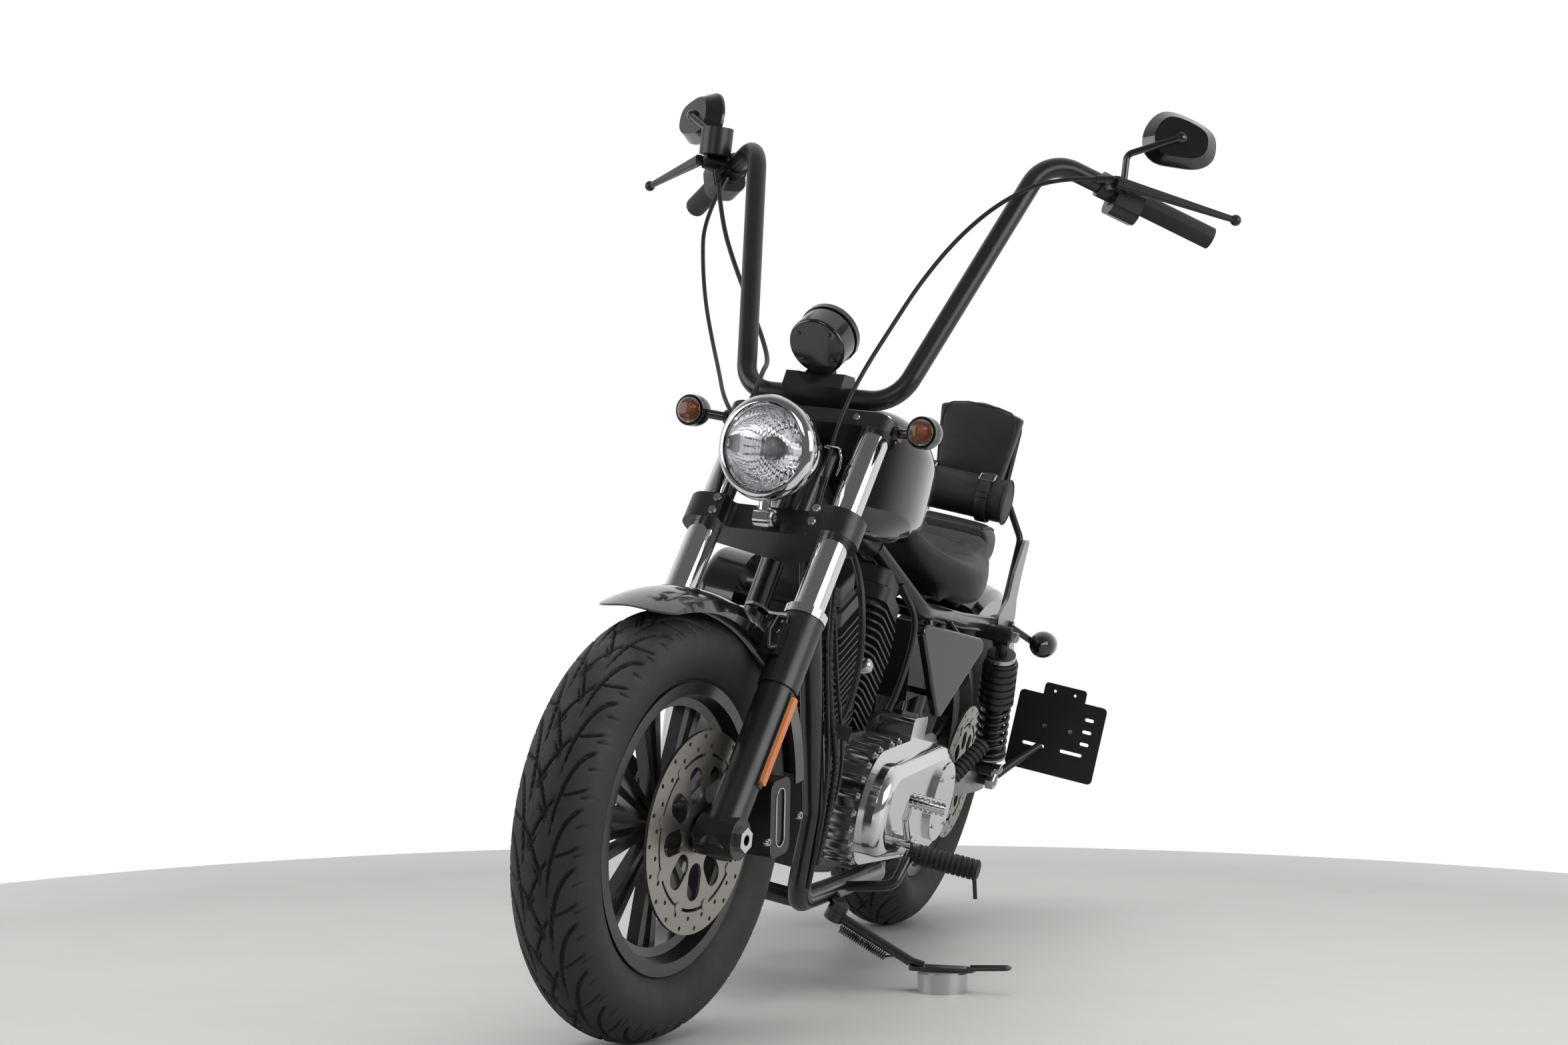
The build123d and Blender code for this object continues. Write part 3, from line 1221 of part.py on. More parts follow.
toe_x, toe_z = 130.0, 366.0
with BuildPart() as shift_linkage:
    ribbed_peg((toe_x, 214, toe_z), (toe_x, 276, toe_z), 26, 7)
    bent_bar([(toe_x, 216, toe_z), (108, 208, 330), (48, 206, 288)], 20, 13)
    disc_at((48, 206, 288), (0, 1, 0), 26, 16)
    straight_bar((48, 206, 288), (48, primary_face + fit, 288), 16)
finish(shift_linkage.part, "shift_linkage", upright)

with BuildPart() as passenger_pegs:
    ribbed_peg(rear_peg_start, rear_peg_end, 30, 9)
    mirror(about=Plane.XZ)
finish(passenger_pegs.part, "passenger_pegs", upright)

# ---------------------------------------------------------------- rear signals and plate
with BuildPart() as rear_signals:
    rear_lamp = Vector(-760, 196, 600)
    signal_body(rear_lamp, -1, 44)
    signal_foot = Vector(-704, strut_y + strut_half + fit, 622)
    straight_bar(rear_lamp + Vector(14, 8 - signal_radius, 0), signal_foot + Vector(0, 4, 0), 13)
    straight_bar(signal_foot, signal_foot + Vector(0, 8, 0), 22)
    mirror(about=Plane.XZ)
finish(rear_signals.part, "rear_signals", upright)

light_hole = 5.5                 # for the plate lamp's two screws
light_hole_spacing = 40.0
light_hole_z = 510.0
with BuildPart() as plate_holder:
    with BuildSketch(Plane.YZ.offset(-856)):
        with Locations((240, 424)):
            RectangleRounded(176, 152, 9)
        with Locations((240, 505)):
            RectangleRounded(84, 38, 7)
        for column in (-1, 1):
            with Locations((240 + column * light_hole_spacing / 2, light_hole_z)):
                Circle(light_hole / 2, mode=Mode.SUBTRACT)
        for row in range(3):
            with Locations((298, 470 - 24 * row)):
                SlotOverall(18, 6.5, mode=Mode.SUBTRACT)
        for column in (-1, 1):
            with Locations((238 + column * 38, 399)):
                SlotOverall(44, 6.5, mode=Mode.SUBTRACT)
    extrude(amount=3)
    holder_foot = Vector(rear_axle_point.X - 27, arm_y + arm_width / 2 + fit, rear_tyre_radius)
    straight_bar(holder_foot, holder_foot + Vector(0, 6, 0), 24)
    bent_bar([holder_foot + Vector(0, 6.5, 0), holder_foot + Vector(-8, 20, 8), (-806, 176, 356),
              (-852, 214, 400)], 20, 16)
finish(plate_holder.part, "plate_holder", upright)

# ---------------------------------------------------------------- side stand and the pad below its foot
foot_thickness = 7.0
with BuildPart() as side_stand:
    disc_at(stand_pivot, stand_axis, 34, stand_boss)
    knee = Vector(foot_centre.X + 8, foot_centre.Y - 52, stand_pad_height + fit + 14)
    straight_bar(stand_pivot, knee, 17)
    with BuildSketch(Plane.XY.offset(stand_pad_height + fit)):
        with Locations((foot_centre.X, foot_centre.Y)):
            RectangleRounded(38, 110, 12)
    extrude(amount=foot_thickness)
    straight_bar(knee + Vector(0, -4, 2), foot_centre + Vector(4, -30, 8), 13)
    bent_bar([(foot_centre.X + 14, foot_centre.Y + 44, foot_centre.Z + 6),
              (foot_centre.X + 10, foot_centre.Y + 112, foot_centre.Z + 9),
              (foot_centre.X - 12, foot_centre.Y + 112, foot_centre.Z + 9),
              (foot_centre.X - 14, foot_centre.Y + 44, foot_centre.Z + 6)], 9, 7)
finish(side_stand.part, "side_stand", floor)

with BuildPart() as stand_pad:
    with BuildSketch(Plane.XY):
        with Locations((foot_centre.X, foot_centre.Y)):
            Circle(stand_pad_radius)
    extrude(amount=stand_pad_height)
    chamfer(stand_pad.faces().sort_by(Axis.Z)[-1].edges(), 3)
finish(stand_pad.part, "stand_pad", floor)

# ---------------------------------------------------------------- cables and hose on the bars
cable_diameter = 7.0
hose_diameter = 8.0


def cord_radii(points):
    """Largest arc that each corner's two runs allow"""
    radii = []
    for before, corner, after in zip(points, points[1:], points[2:]):
        shorter = min((corner - before).length, (after - corner).length)
        half_turn = radians((corner - before).get_angle(after - corner)) / 2
        radii.append(0.45 * shorter / tan(half_turn))
    return radii


def make_cord(name, route, diameter):
    """Cable along a hand-chosen route: straight runs joined by tangent arcs"""
    points = [Vector(*point) for point in route]
    radii = cord_radii(points)
    with BuildPart() as cord:
        with BuildLine() as path:
            FilletPolyline(*points, radius=radii)
        run = path.wires()[0]
        with BuildSketch(Plane(origin=run @ 0, z_dir=run % 0)) as section:
            Circle(diameter / 2)
        sweep(section.sketch, path=run)
    print(name, "length", round(run.length), "radii", [round(radius) for radius in radii],
          "volume ratio", round(cord.part.volume / (run.length * 3.14159 * diameter ** 2 / 4), 3))
    return cord.part


finish(make_cord("clutch_cable", clutch_route, cable_diameter), "clutch_cable", steer)
finish(make_cord("throttle_cables", throttle_route, cable_diameter), "throttle_cables", steer)
finish(make_cord("brake_hose", brake_route, hose_diameter), "brake_hose", steer)

# ---------------------------------------------------------------- one common origin, then the files
whole_box = Compound(children=[piece.moved(floor) for piece in finished]).bounding_box()
centred = Location((-whole_box.center().X, -whole_box.center().Y, -whole_box.min.Z))
for piece in finished:
    placed = piece.moved(centred)
    placed.label = piece.label
    export_step(placed, f"parts/{piece.label}.step")


def report_point(name, place, point, direction=None):
    """Print a point, and a direction, of the parked machine in its final frame"""
    spot = (centred * place * Location(point)).position
    line = [round(value, 4) for value in spot]
    if direction is not None:
        ahead = (centred * place * Location(point + direction)).position
        line += [round(value, 6) for value in (ahead - spot)]
    print("axis", name, *line)


report_point("steering", steer, steer_axis_at(lower_clamp_z), leg_direction)
report_point("front_axle", fork, Vector(0, 0, 0), Vector(0, 1, 0))
report_point("rear_axle", rear_wheel_place, Vector(0, 0, 0), Vector(0, 1, 0))
report_point("side_stand", floor, stand_pivot, stand_axis)
report_point("front_axle_end", fork, Vector(0, axle_half + fit + axle_nut_height, 0), Vector(0, 1, 0))
report_point("lower_outlet", upright, low_muffler[1], low_muffler[1] - low_muffler[0])
report_point("upper_outlet", upright, high_muffler[1], high_muffler[1] - high_muffler[0])
report_point("plate_lamp_holes", upright, Vector(-856, 240, light_hole_z), Vector(-1, 0, 0))
report_point("ground_rest", floor, Vector(foot_centre.X, foot_centre.Y, 0), Vector(0, 0, -1))
print("size", [round(value, 1) for value in whole_box.size], "pieces", len(finished))
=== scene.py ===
# %% [markdown]
# # A cruiser motorcycle, dressed for looking at
# The imported CAD model is the fixed frame of everything here: it already has every
# piece in its place, in metres. This lesson gives each of those pieces a finish, and
# adds what a CAD model leaves out, such as tread, stitching, lamps and small fasteners.

# %% Load the frame
import json
import math

import bmesh
import bpy
import numpy as np
from mathutils import Matrix, Vector
from mathutils.bvhtree import BVHTree


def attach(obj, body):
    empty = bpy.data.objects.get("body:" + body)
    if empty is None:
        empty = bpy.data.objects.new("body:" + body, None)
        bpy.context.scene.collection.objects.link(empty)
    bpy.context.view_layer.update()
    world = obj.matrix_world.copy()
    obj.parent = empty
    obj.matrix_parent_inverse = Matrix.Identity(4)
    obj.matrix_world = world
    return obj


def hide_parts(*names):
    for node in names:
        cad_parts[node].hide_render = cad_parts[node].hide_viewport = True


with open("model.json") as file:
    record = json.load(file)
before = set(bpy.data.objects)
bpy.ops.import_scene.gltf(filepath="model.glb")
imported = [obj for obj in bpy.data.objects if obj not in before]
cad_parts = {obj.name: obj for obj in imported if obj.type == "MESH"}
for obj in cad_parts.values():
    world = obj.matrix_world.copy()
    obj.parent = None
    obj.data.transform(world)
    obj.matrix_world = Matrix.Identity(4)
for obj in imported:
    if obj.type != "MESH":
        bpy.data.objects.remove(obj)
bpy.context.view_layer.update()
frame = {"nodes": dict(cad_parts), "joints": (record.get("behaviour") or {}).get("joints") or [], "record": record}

# %% [markdown]
# The motorcycle leans on its stand and its front end is turned, so nothing on it is
# square to the world. The record keeps both axles and the steering axis. Turning the
# front axle back to straight ahead gives the line between the axles, and from it the
# machine's own axes: X forward, Y to its left, Z up. After that, a point can be given
# as a mechanic would measure it on the upright machine, in millimetres, and one formula
# carries it over.

# %% Axes of the machine and of its front end
joints = {joint["name"]: joint for joint in frame["joints"]}
WHEELBASE, REAR_RADIUS, FRONT_RADIUS = 1495.0, 323.0, 320.0
PARKED_STEER = math.radians(-13.0)
RAKE = math.radians(30.2)
steer_point = np.array(joints["steering"]["pos_m"])
steer_axis = np.array(joints["steering"]["axis"])


def turned(places, angle=PARKED_STEER):
    """Rodrigues' formula: the part along the steering axis stays, the rest turns by the angle."""
    arm = places - steer_point
    along = (arm @ steer_axis)[..., None] * steer_axis
    across = arm - along
    return (steer_point + along + across * math.cos(angle)
            + np.cross(steer_axis, across) * math.sin(angle))


rear_axle = np.array(joints["rear_wheel_spin"]["pos_m"])
leftward = np.array(joints["rear_wheel_spin"]["axis"])
between_axles = turned(np.array(joints["front_wheel_spin"]["pos_m"]), -PARKED_STEER) - rear_axle
between_axles /= np.linalg.norm(between_axles)
drop = math.atan2(REAR_RADIUS - FRONT_RADIUS, WHEELBASE)
forward = between_axles * math.cos(drop) + np.cross(between_axles, leftward) * math.sin(drop)
upward = np.cross(forward, leftward)
machine_axes = np.stack([forward, leftward, upward])
ground_point = rear_axle + forward * WHEELBASE / 2000 - upward * REAR_RADIUS / 1000


def on_machine(points):
    """Upright millimetres to the parked machine: each coordinate runs along its own axis."""
    return ground_point + np.asarray(points, float) / 1000 @ machine_axes


def on_front(points):
    """Upright millimetres of the front end, drawn straight ahead, to where it is parked."""
    return turned(on_machine(points))


def on_fork(points):
    """Fork millimetres: X square to the legs, Y left, Z along the legs from the front axle."""
    points = np.asarray(points, float)
    square = points[..., 0] * math.cos(RAKE) - points[..., 2] * math.sin(RAKE) + WHEELBASE / 2
    height = points[..., 0] * math.sin(RAKE) + points[..., 2] * math.cos(RAKE) + FRONT_RADIUS
    return on_front(np.stack([square, points[..., 1], height], axis=-1))


def on_rear_wheel(points):
    """Millimetres from the rear axle, in the machine's own directions."""
    return on_machine(np.asarray(points, float) + (-WHEELBASE / 2, 0, REAR_RADIUS))


print("rear axle", on_rear_wheel((0, 0, 0)).round(3), "front axle", on_fork((0, 0, 0)).round(3))

# %% [markdown]
# ## Camera, light and floor
# The camera stands low in front and a little to the machine's left, with a long lens.
# A black machine is lit by what it reflects, so the lamps are wide, soft boxes: one
# overhead, one on each side and a weaker one in front. The camera and what shows
# through glass see plain white.
# Metal and paint mirror the same white from behind, and a darker studio from the side
# where the camera stands, which keeps black paint black. Matt surfaces get the boxes
# and a weaker, even white from all round.

# %% Camera
stand_at = Vector((4.956, 1.2475, 0.718))
look_along = Vector((-0.957, -0.290, 0.010)).normalized()
view_roll = math.radians(0.35)
camera_data = bpy.data.cameras.new("camera")
camera_data.lens = 69.4
camera_data.sensor_width = 36.0
camera = bpy.data.objects.new("camera", camera_data)
bpy.context.scene.collection.objects.link(camera)
camera_right = look_along.cross(Vector((0, 0, 1))).normalized()
camera_up = camera_right.cross(look_along)
camera.matrix_world = (Matrix.Translation(stand_at)
                       @ Matrix((camera_right, camera_up, -look_along)).transposed().to_4x4()
                       @ Matrix.Rotation(view_roll, 4, "Z"))
bpy.context.scene.camera = camera
bpy.context.scene.view_settings.view_transform = "Standard"


# %% [markdown]
# ## Control cables
# A clutch cable, a throttle cable and a brake hose run from the high handlebar down to
# the fork. Each is a fixed length of something springy, held at both ends, so it takes
# one smooth curve. A NURBS spline of order 3 does that: it is drawn towards its few
# control points without a kink, and a round bevel gives it its thickness. The points
# are given, and nothing is simulated.

# %% Three cables
clutch_route = [
    (204, 352, 1368), (236, 292, 1362), (270, 226, 1318), (300, 172, 1254), (334, 132, 1176),
    (366, 106, 1100), (400, 84, 1028), (430, 74, 968), (448, 68, 910), (454, 64, 856),
]
throttle_route = [
    (150, -352, 1322), (176, -362, 1264), (208, -336, 1190), (250, -297, 1119), (300, -246, 1052),
    (356, -196, 1002), (414, -152, 966), (452, -108, 934), (460, -76, 884),
]
brake_route = [
    (186, -336, 1330), (212, -306, 1262), (238, -258, 1190), (262, -208, 1126), (296, -158, 1070),
    (344, -116, 1030), (400, -94, 1012), (448, -80, 966), (470, -96, 906),
]


def hang_cable(name, node, route, diameter):
    """A round tube along the spline that the route's points draw towards them.

    The bevel is one metre and each point's radius scales it down to the cable's, because
    the box round a curve is measured with that radius.
    """
    curve = bpy.data.curves.new(name, "CURVE")
    curve.dimensions = "3D"
    curve.bevel_depth = 1.0
    curve.bevel_resolution = 4
    curve.resolution_u = 10
    curve.use_fill_caps = True
    spline = curve.splines.new("NURBS")
    places = on_front(route)
    spline.points.add(len(places) - 1)
    spline.points.foreach_set("co", np.hstack([places, np.ones((len(places), 1))]).ravel())
    spline.points.foreach_set("radius", np.full(len(places), diameter / 2000))
    spline.order_u = 3
    spline.use_endpoint_u = True
    cable = bpy.data.objects.new(name, curve)
    bpy.context.scene.collection.objects.link(cable)
    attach(cable, "steering")
    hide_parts(node)
    return cable


cables = [
    hang_cable("clutch_cable_run", "clutch_cable", clutch_route, 7),
    hang_cable("throttle_cable_run", "throttle_cables", throttle_route, 7),
    hang_cable("brake_hose_run", "brake_hose", brake_route, 8),
]
print("cables", [cable.name for cable in cables])

# %% Lamps
def soft_box(name, place, target, size, power, colour=(1, 1, 1)):
    """A rectangular area lamp that looks at a point."""
    data = bpy.data.lights.new(name, "AREA")
    data.shape = "RECTANGLE"
    data.size, data.size_y = size
    data.energy = power
    data.color = colour
    lamp = bpy.data.objects.new(name, data)
    bpy.context.scene.collection.objects.link(lamp)
    lamp.location = place
    lamp.rotation_euler = (Vector(target) - Vector(place)).to_track_quat("-Z", "Y").to_euler()
    return lamp


overhead = soft_box("box_overhead", (0.2, 0.2, 3.4), (0, 0, 0), (3.6, 2.6), 120)
overhead.visible_glossy = False
soft_box("box_left", (1.2, 3.4, 1.7), (0, 0, 0.7), (3.0, 2.0), 60)
soft_box("box_right", (1.6, -3.2, 1.6), (0, 0, 0.7), (2.6, 2.0), 40)
soft_box("box_front", (4.6, -0.6, 2.6), (0.2, 0, 0.6), (1.6, 1.2), 18)

# %% World and floor
world = bpy.data.worlds.new("world")
bpy.context.scene.world = world
world.use_nodes = True
world_nodes, world_links = world.node_tree.nodes, world.node_tree.links
world_nodes.clear()
plain = world_nodes.new("ShaderNodeBackground")
plain.inputs["Color"].default_value = (1, 1, 1, 1)
plain.inputs["Strength"].default_value = 0.42
white = world_nodes.new("ShaderNodeBackground")
white.inputs["Color"].default_value = (1, 1, 1, 1)
white.inputs["Strength"].default_value = 1.0
rays = world_nodes.new("ShaderNodeLightPath")
seen_or_mirrored = world_nodes.new("ShaderNodeMath")
seen_or_mirrored.operation = "MAXIMUM"
choose = world_nodes.new("ShaderNodeMixShader")
world_out = world_nodes.new("ShaderNodeOutputWorld")
world_way = world_nodes.new("ShaderNodeTexCoord")
world_split = world_nodes.new("ShaderNodeSeparateXYZ")
world_links.new(world_way.outputs["Generated"], world_split.inputs[0])
open_side = world_nodes.new("ShaderNodeMapRange")
open_side.interpolation_type = "SMOOTHSTEP"
open_side.inputs["From Min"].default_value = 0.4
open_side.inputs["From Max"].default_value = -0.6
open_side.inputs["To Min"].default_value = 0.16
open_side.inputs["To Max"].default_value = 1.0
world_links.new(world_split.outputs["X"], open_side.inputs["Value"])
mirrored = world_nodes.new("ShaderNodeBackground")
world_links.new(open_side.outputs["Result"], mirrored.inputs["Strength"])
choose_mirrored = world_nodes.new("ShaderNodeMixShader")
world_links.new(rays.outputs["Is Camera Ray"], seen_or_mirrored.inputs[0])
world_links.new(rays.outputs["Is Transmission Ray"], seen_or_mirrored.inputs[1])
world_links.new(rays.outputs["Is Glossy Ray"], choose_mirrored.inputs[0])
world_links.new(plain.outputs[0], choose_mirrored.inputs[1])
world_links.new(mirrored.outputs[0], choose_mirrored.inputs[2])
world_links.new(seen_or_mirrored.outputs[0], choose.inputs[0])
world_links.new(choose_mirrored.outputs[0], choose.inputs[1])
world_links.new(white.outputs[0], choose.inputs[2])
world_links.new(choose.outputs[0], world_out.inputs[0])


def grid_mesh(name, points, close_u=False, close_v=False, cap_start=False, cap_end=False):
    """A surface from an array of points, rows by columns.

    Point (i, j) joins (i+1, j), (i+1, j+1) and (i, j+1) in one four-sided face, worked
    out for the whole grid at once; a closed direction joins its last row to its first,
    and a cap is one face over the first or last row of a closed column direction.
    """
    rows, columns = points.shape[:2]
    i, j = np.meshgrid(np.arange(rows if close_u else rows - 1),
                       np.arange(columns if close_v else columns - 1), indexing="ij")
    next_i, next_j = (i + 1) % rows, (j + 1) % columns
    faces = np.stack([i * columns + j, next_i * columns + j,
                      next_i * columns + next_j, i * columns + next_j], axis=-1).reshape(-1, 4)
    faces = faces.tolist()
    if cap_start:
        faces.append(list(range(columns)))
    if cap_end:
        faces.append(list(range(rows * columns - 1, (rows - 1) * columns - 1, -1)))
    mesh = bpy.data.meshes.new(name)
    mesh.from_pydata(points.reshape(-1, 3).tolist(), [], faces)
    mesh.validate()
    return mesh


def new_piece(name, mesh, smooth=True):
    """An object for a mesh whose points are already in place, with rounded shading if asked."""
    piece = bpy.data.objects.new(name, mesh)
    bpy.context.scene.collection.objects.link(piece)
    if smooth:
        mesh.polygons.foreach_set("use_smooth", np.ones(len(mesh.polygons), bool))
    return piece


turns = np.linspace(0, 2 * math.pi, 97)[:-1]
reach = np.array([0.02, 0.9, 1.6, 2.1, 2.35])
floor_points = np.stack([reach[:, None] * np.cos(turns), reach[:, None] * np.sin(turns),
                         np.zeros((5, 96))], axis=-1)
floor = new_piece("studio_floor", grid_mesh("studio_floor", floor_points, close_v=True, cap_start=True))
print("camera lens", camera_data.lens, "floor points", len(floor.data.vertices))

# %% [markdown]
# ## Shared effects
# Paint, chrome and rubber differ in colour, but the same few things make each look
# real: a grain too fine to count, smudges that change the gloss, and dust that settles
# where a surface faces up. Each is a node group, built once, with sockets for its
# size and amount, so a material only says how much it wants of each.


# %% Helpers for node groups
def new_group(name, inputs, outputs):
    """A shader group with float or vector sockets; returns its tree, input and output nodes."""
    tree = bpy.data.node_groups.new(name, "ShaderNodeTree")
    kinds = {"f": "NodeSocketFloat", "v": "NodeSocketVector", "c": "NodeSocketColor"}
    for label, kind, value in inputs:
        socket = tree.interface.new_socket(label, in_out="INPUT", socket_type=kinds[kind])
        if value is not None:
            socket.default_value = value
    for label, kind in outputs:
        tree.interface.new_socket(label, in_out="OUTPUT", socket_type=kinds[kind])
    return tree, tree.nodes.new("NodeGroupInput"), tree.nodes.new("NodeGroupOutput")


def math_node(tree, operation, first, second=None, third=None, clamp=False):
    """One Math node; each of its terms is a socket or a number."""
    node = tree.nodes.new("ShaderNodeMath")
    node.operation = operation
    node.use_clamp = clamp
    for slot, term in enumerate((first, second, third)):
        if term is None:
            continue
        if isinstance(term, (int, float)):
            node.inputs[slot].default_value = term
        else:
            tree.links.new(term, node.inputs[slot])
    return node.outputs[0]


def noise_node(tree, vector, scale, detail=3.0, roughness=0.5, distortion=0.0):
    """A Noise Texture; its scale may be a socket or a number."""
    node = tree.nodes.new("ShaderNodeTexNoise")
    tree.links.new(vector, node.inputs["Vector"])
    if isinstance(scale, (int, float)):
        node.inputs["Scale"].default_value = scale
    else:
        tree.links.new(scale, node.inputs["Scale"])
    node.inputs["Detail"].default_value = detail
    node.inputs["Roughness"].default_value = roughness
    node.inputs["Distortion"].default_value = distortion
    return node.outputs["Fac"]


# %% Smudged gloss
smudge_group, smudge_in, smudge_out = new_group(
    "smudged_gloss",
    [("Vector", "v", None), ("Scale", "f", 9.0), ("Roughness", "f", 0.3), ("Amount", "f", 0.1)],
    [("Roughness", "f"), ("Mask", "f")])
broad = noise_node(smudge_group, smudge_in.outputs["Vector"], smudge_in.outputs["Scale"], 5.0, 0.6, 0.4)
centred_mask = math_node(smudge_group, "SUBTRACT", broad, 0.5)
change = math_node(smudge_group, "MULTIPLY", centred_mask, smudge_in.outputs["Amount"])
change = math_node(smudge_group, "MULTIPLY", change, 4.0)
smudge_group.links.new(
    math_node(smudge_group, "ADD", change, smudge_in.outputs["Roughness"], clamp=True),
    smudge_out.inputs["Roughness"])
smudge_group.links.new(broad, smudge_out.inputs["Mask"])
print("group", smudge_group.name)

# %% Settled dust
dust_group, dust_in, dust_out = new_group(
    "settled_dust",
    [("Vector", "v", None), ("Normal", "v", None), ("Base", "c", (0, 0, 0, 1)),
     ("Dust", "c", (0.2, 0.19, 0.17, 1)), ("Amount", "f", 0.2)],
    [("Color", "c"), ("Mask", "f")])
split = dust_group.nodes.new("ShaderNodeSeparateXYZ")
dust_group.links.new(dust_in.outputs["Normal"], split.inputs[0])
facing_up = math_node(dust_group, "MULTIPLY_ADD", split.outputs["Z"], 0.6, 0.4, clamp=True)
patches = noise_node(dust_group, dust_in.outputs["Vector"], 14.0, 6.0, 0.65)
patches = math_node(dust_group, "SUBTRACT", patches, 0.35, clamp=True)
dust_mask = math_node(dust_group, "MULTIPLY", math_node(dust_group, "MULTIPLY", patches, facing_up),
                      dust_in.outputs["Amount"])
dust_mask = math_node(dust_group, "MULTIPLY", dust_mask, 2.0, clamp=True)
blend_dust = dust_group.nodes.new("ShaderNodeMix")
blend_dust.data_type = "RGBA"
dust_group.links.new(dust_mask, blend_dust.inputs["Factor"])
dust_group.links.new(dust_in.outputs["Base"], blend_dust.inputs["A"])
dust_group.links.new(dust_in.outputs["Dust"], blend_dust.inputs["B"])
dust_group.links.new(blend_dust.outputs["Result"], dust_out.inputs["Color"])
dust_group.links.new(dust_mask, dust_out.inputs["Mask"])
print("group", dust_group.name)

# %% Fine grain, as on wrinkle paint, cast metal and rubber
grain_group, grain_in, grain_out = new_group(
    "fine_grain",
    [("Vector", "v", None), ("Scale", "f", 900.0), ("Waviness", "f", 0.3)],
    [("Height", "f")])
fine = noise_node(grain_group, grain_in.outputs["Vector"], grain_in.outputs["Scale"], 2.0, 0.6)
wide_scale = math_node(grain_group, "MULTIPLY", grain_in.outputs["Scale"], 0.12)
wide = noise_node(grain_group, grain_in.outputs["Vector"], wide_scale, 2.0, 0.5)
grain_group.links.new(
    math_node(grain_group, "MULTIPLY_ADD", wide, grain_in.outputs["Waviness"], fine),
    grain_out.inputs["Height"])
print("group", grain_group.name)

# %% Leather grain: small cells with creases between them
leather_group, leather_in, leather_out = new_group(
    "leather_grain",
    [("Vector", "v", None), ("Scale", "f", 420.0), ("Crease", "f", 0.5)],
    [("Height", "f"), ("Mask", "f")])
cells = leather_group.nodes.new("ShaderNodeTexVoronoi")
cells.feature = "DISTANCE_TO_EDGE"
leather_group.links.new(leather_in.outputs["Vector"], cells.inputs["Vector"])
leather_group.links.new(leather_in.outputs["Scale"], cells.inputs["Scale"])
cell_height = math_node(leather_group, "MULTIPLY", cells.outputs["Distance"], 2.2, clamp=True)
creases = noise_node(leather_group, leather_in.outputs["Vector"], 26.0, 5.0, 0.6, 1.2)
leather_group.links.new(
    math_node(leather_group, "MULTIPLY_ADD", creases, leather_in.outputs["Crease"], cell_height),
    leather_out.inputs["Height"])
leather_group.links.new(creases, leather_out.inputs["Mask"])
print("group", leather_group.name)

# %% Turned rings, as a lathe or a brake pad leaves them
ring_group, ring_in, ring_out = new_group(
    "turned_rings",
    [("Vector", "v", None), ("Rings", "f", 700.0)],
    [("Height", "f"), ("Radius", "f")])
flat = ring_group.nodes.new("ShaderNodeVectorMath")
flat.operation = "MULTIPLY"
flat.inputs[1].default_value = (1, 0, 1)
ring_group.links.new(ring_in.outputs["Vector"], flat.inputs[0])
radius = ring_group.nodes.new("ShaderNodeVectorMath")
radius.operation = "LENGTH"
ring_group.links.new(flat.outputs[0], radius.inputs[0])
pack = ring_group.nodes.new("ShaderNodeCombineXYZ")
ring_group.links.new(radius.outputs["Value"], pack.inputs[0])
ring_group.links.new(noise_node(ring_group, pack.outputs[0], ring_in.outputs["Rings"], 4.0, 0.7),
                     ring_out.inputs["Height"])
ring_group.links.new(radius.outputs["Value"], ring_out.inputs["Radius"])
print("group", ring_group.name)

# %% [markdown]
# ## Finishes
# A material starts with the plain constants of its surface: colour, metal or not,
# gloss and clear coat. Those stay on the Principled shader's own sockets. Then the
# shared groups feed what changes over the surface: roughness from smudges, colour
# from dust, and a Bump node for grain.


# %% One helper that makes a finish
def finish(name, colour, roughness=0.4, metallic=0.0, smudge=0.06, smudge_scale=9.0, dust=0.0,
           grain=None, grain_strength=0.2, grain_depth=0.0004, leather=None, **constants):
    """A Principled material: constants on its sockets, and the shared groups where asked."""
    material = bpy.data.materials.new(name)
    material.use_nodes = True
    tree = material.node_tree
    shader = tree.nodes["Principled BSDF"]
    shader.inputs["Base Color"].default_value = (*colour, 1)
    shader.inputs["Metallic"].default_value = metallic
    for socket, value in constants.items():
        shader.inputs[socket.replace("_", " ")].default_value = value
    where = tree.nodes.new("ShaderNodeTexCoord").outputs["Object"]
    gloss = tree.nodes.new("ShaderNodeGroup")
    gloss.node_tree = smudge_group
    tree.links.new(where, gloss.inputs["Vector"])
    gloss.inputs["Scale"].default_value = smudge_scale
    gloss.inputs["Roughness"].default_value = roughness
    gloss.inputs["Amount"].default_value = smudge
    tree.links.new(gloss.outputs["Roughness"], shader.inputs["Roughness"])
    if dust:
        settled = tree.nodes.new("ShaderNodeGroup")
        settled.node_tree = dust_group
        tree.links.new(where, settled.inputs["Vector"])
        geometry = tree.nodes.new("ShaderNodeNewGeometry")
        tree.links.new(geometry.outputs["Normal"], settled.inputs["Normal"])
        settled.inputs["Base"].default_value = (*colour, 1)
        settled.inputs["Amount"].default_value = dust
        tree.links.new(settled.outputs["Color"], shader.inputs["Base Color"])
    if grain or leather:
        texture = tree.nodes.new("ShaderNodeGroup")
        texture.node_tree = leather_group if leather else grain_group
        tree.links.new(where, texture.inputs["Vector"])
        texture.inputs["Scale"].default_value = leather or grain
        bump = tree.nodes.new("ShaderNodeBump")
        bump.inputs["Strength"].default_value = grain_strength
        bump.inputs["Distance"].default_value = grain_depth
        tree.links.new(texture.outputs["Height"], bump.inputs["Height"])
        tree.links.new(bump.outputs["Normal"], shader.inputs["Normal"])
    return material


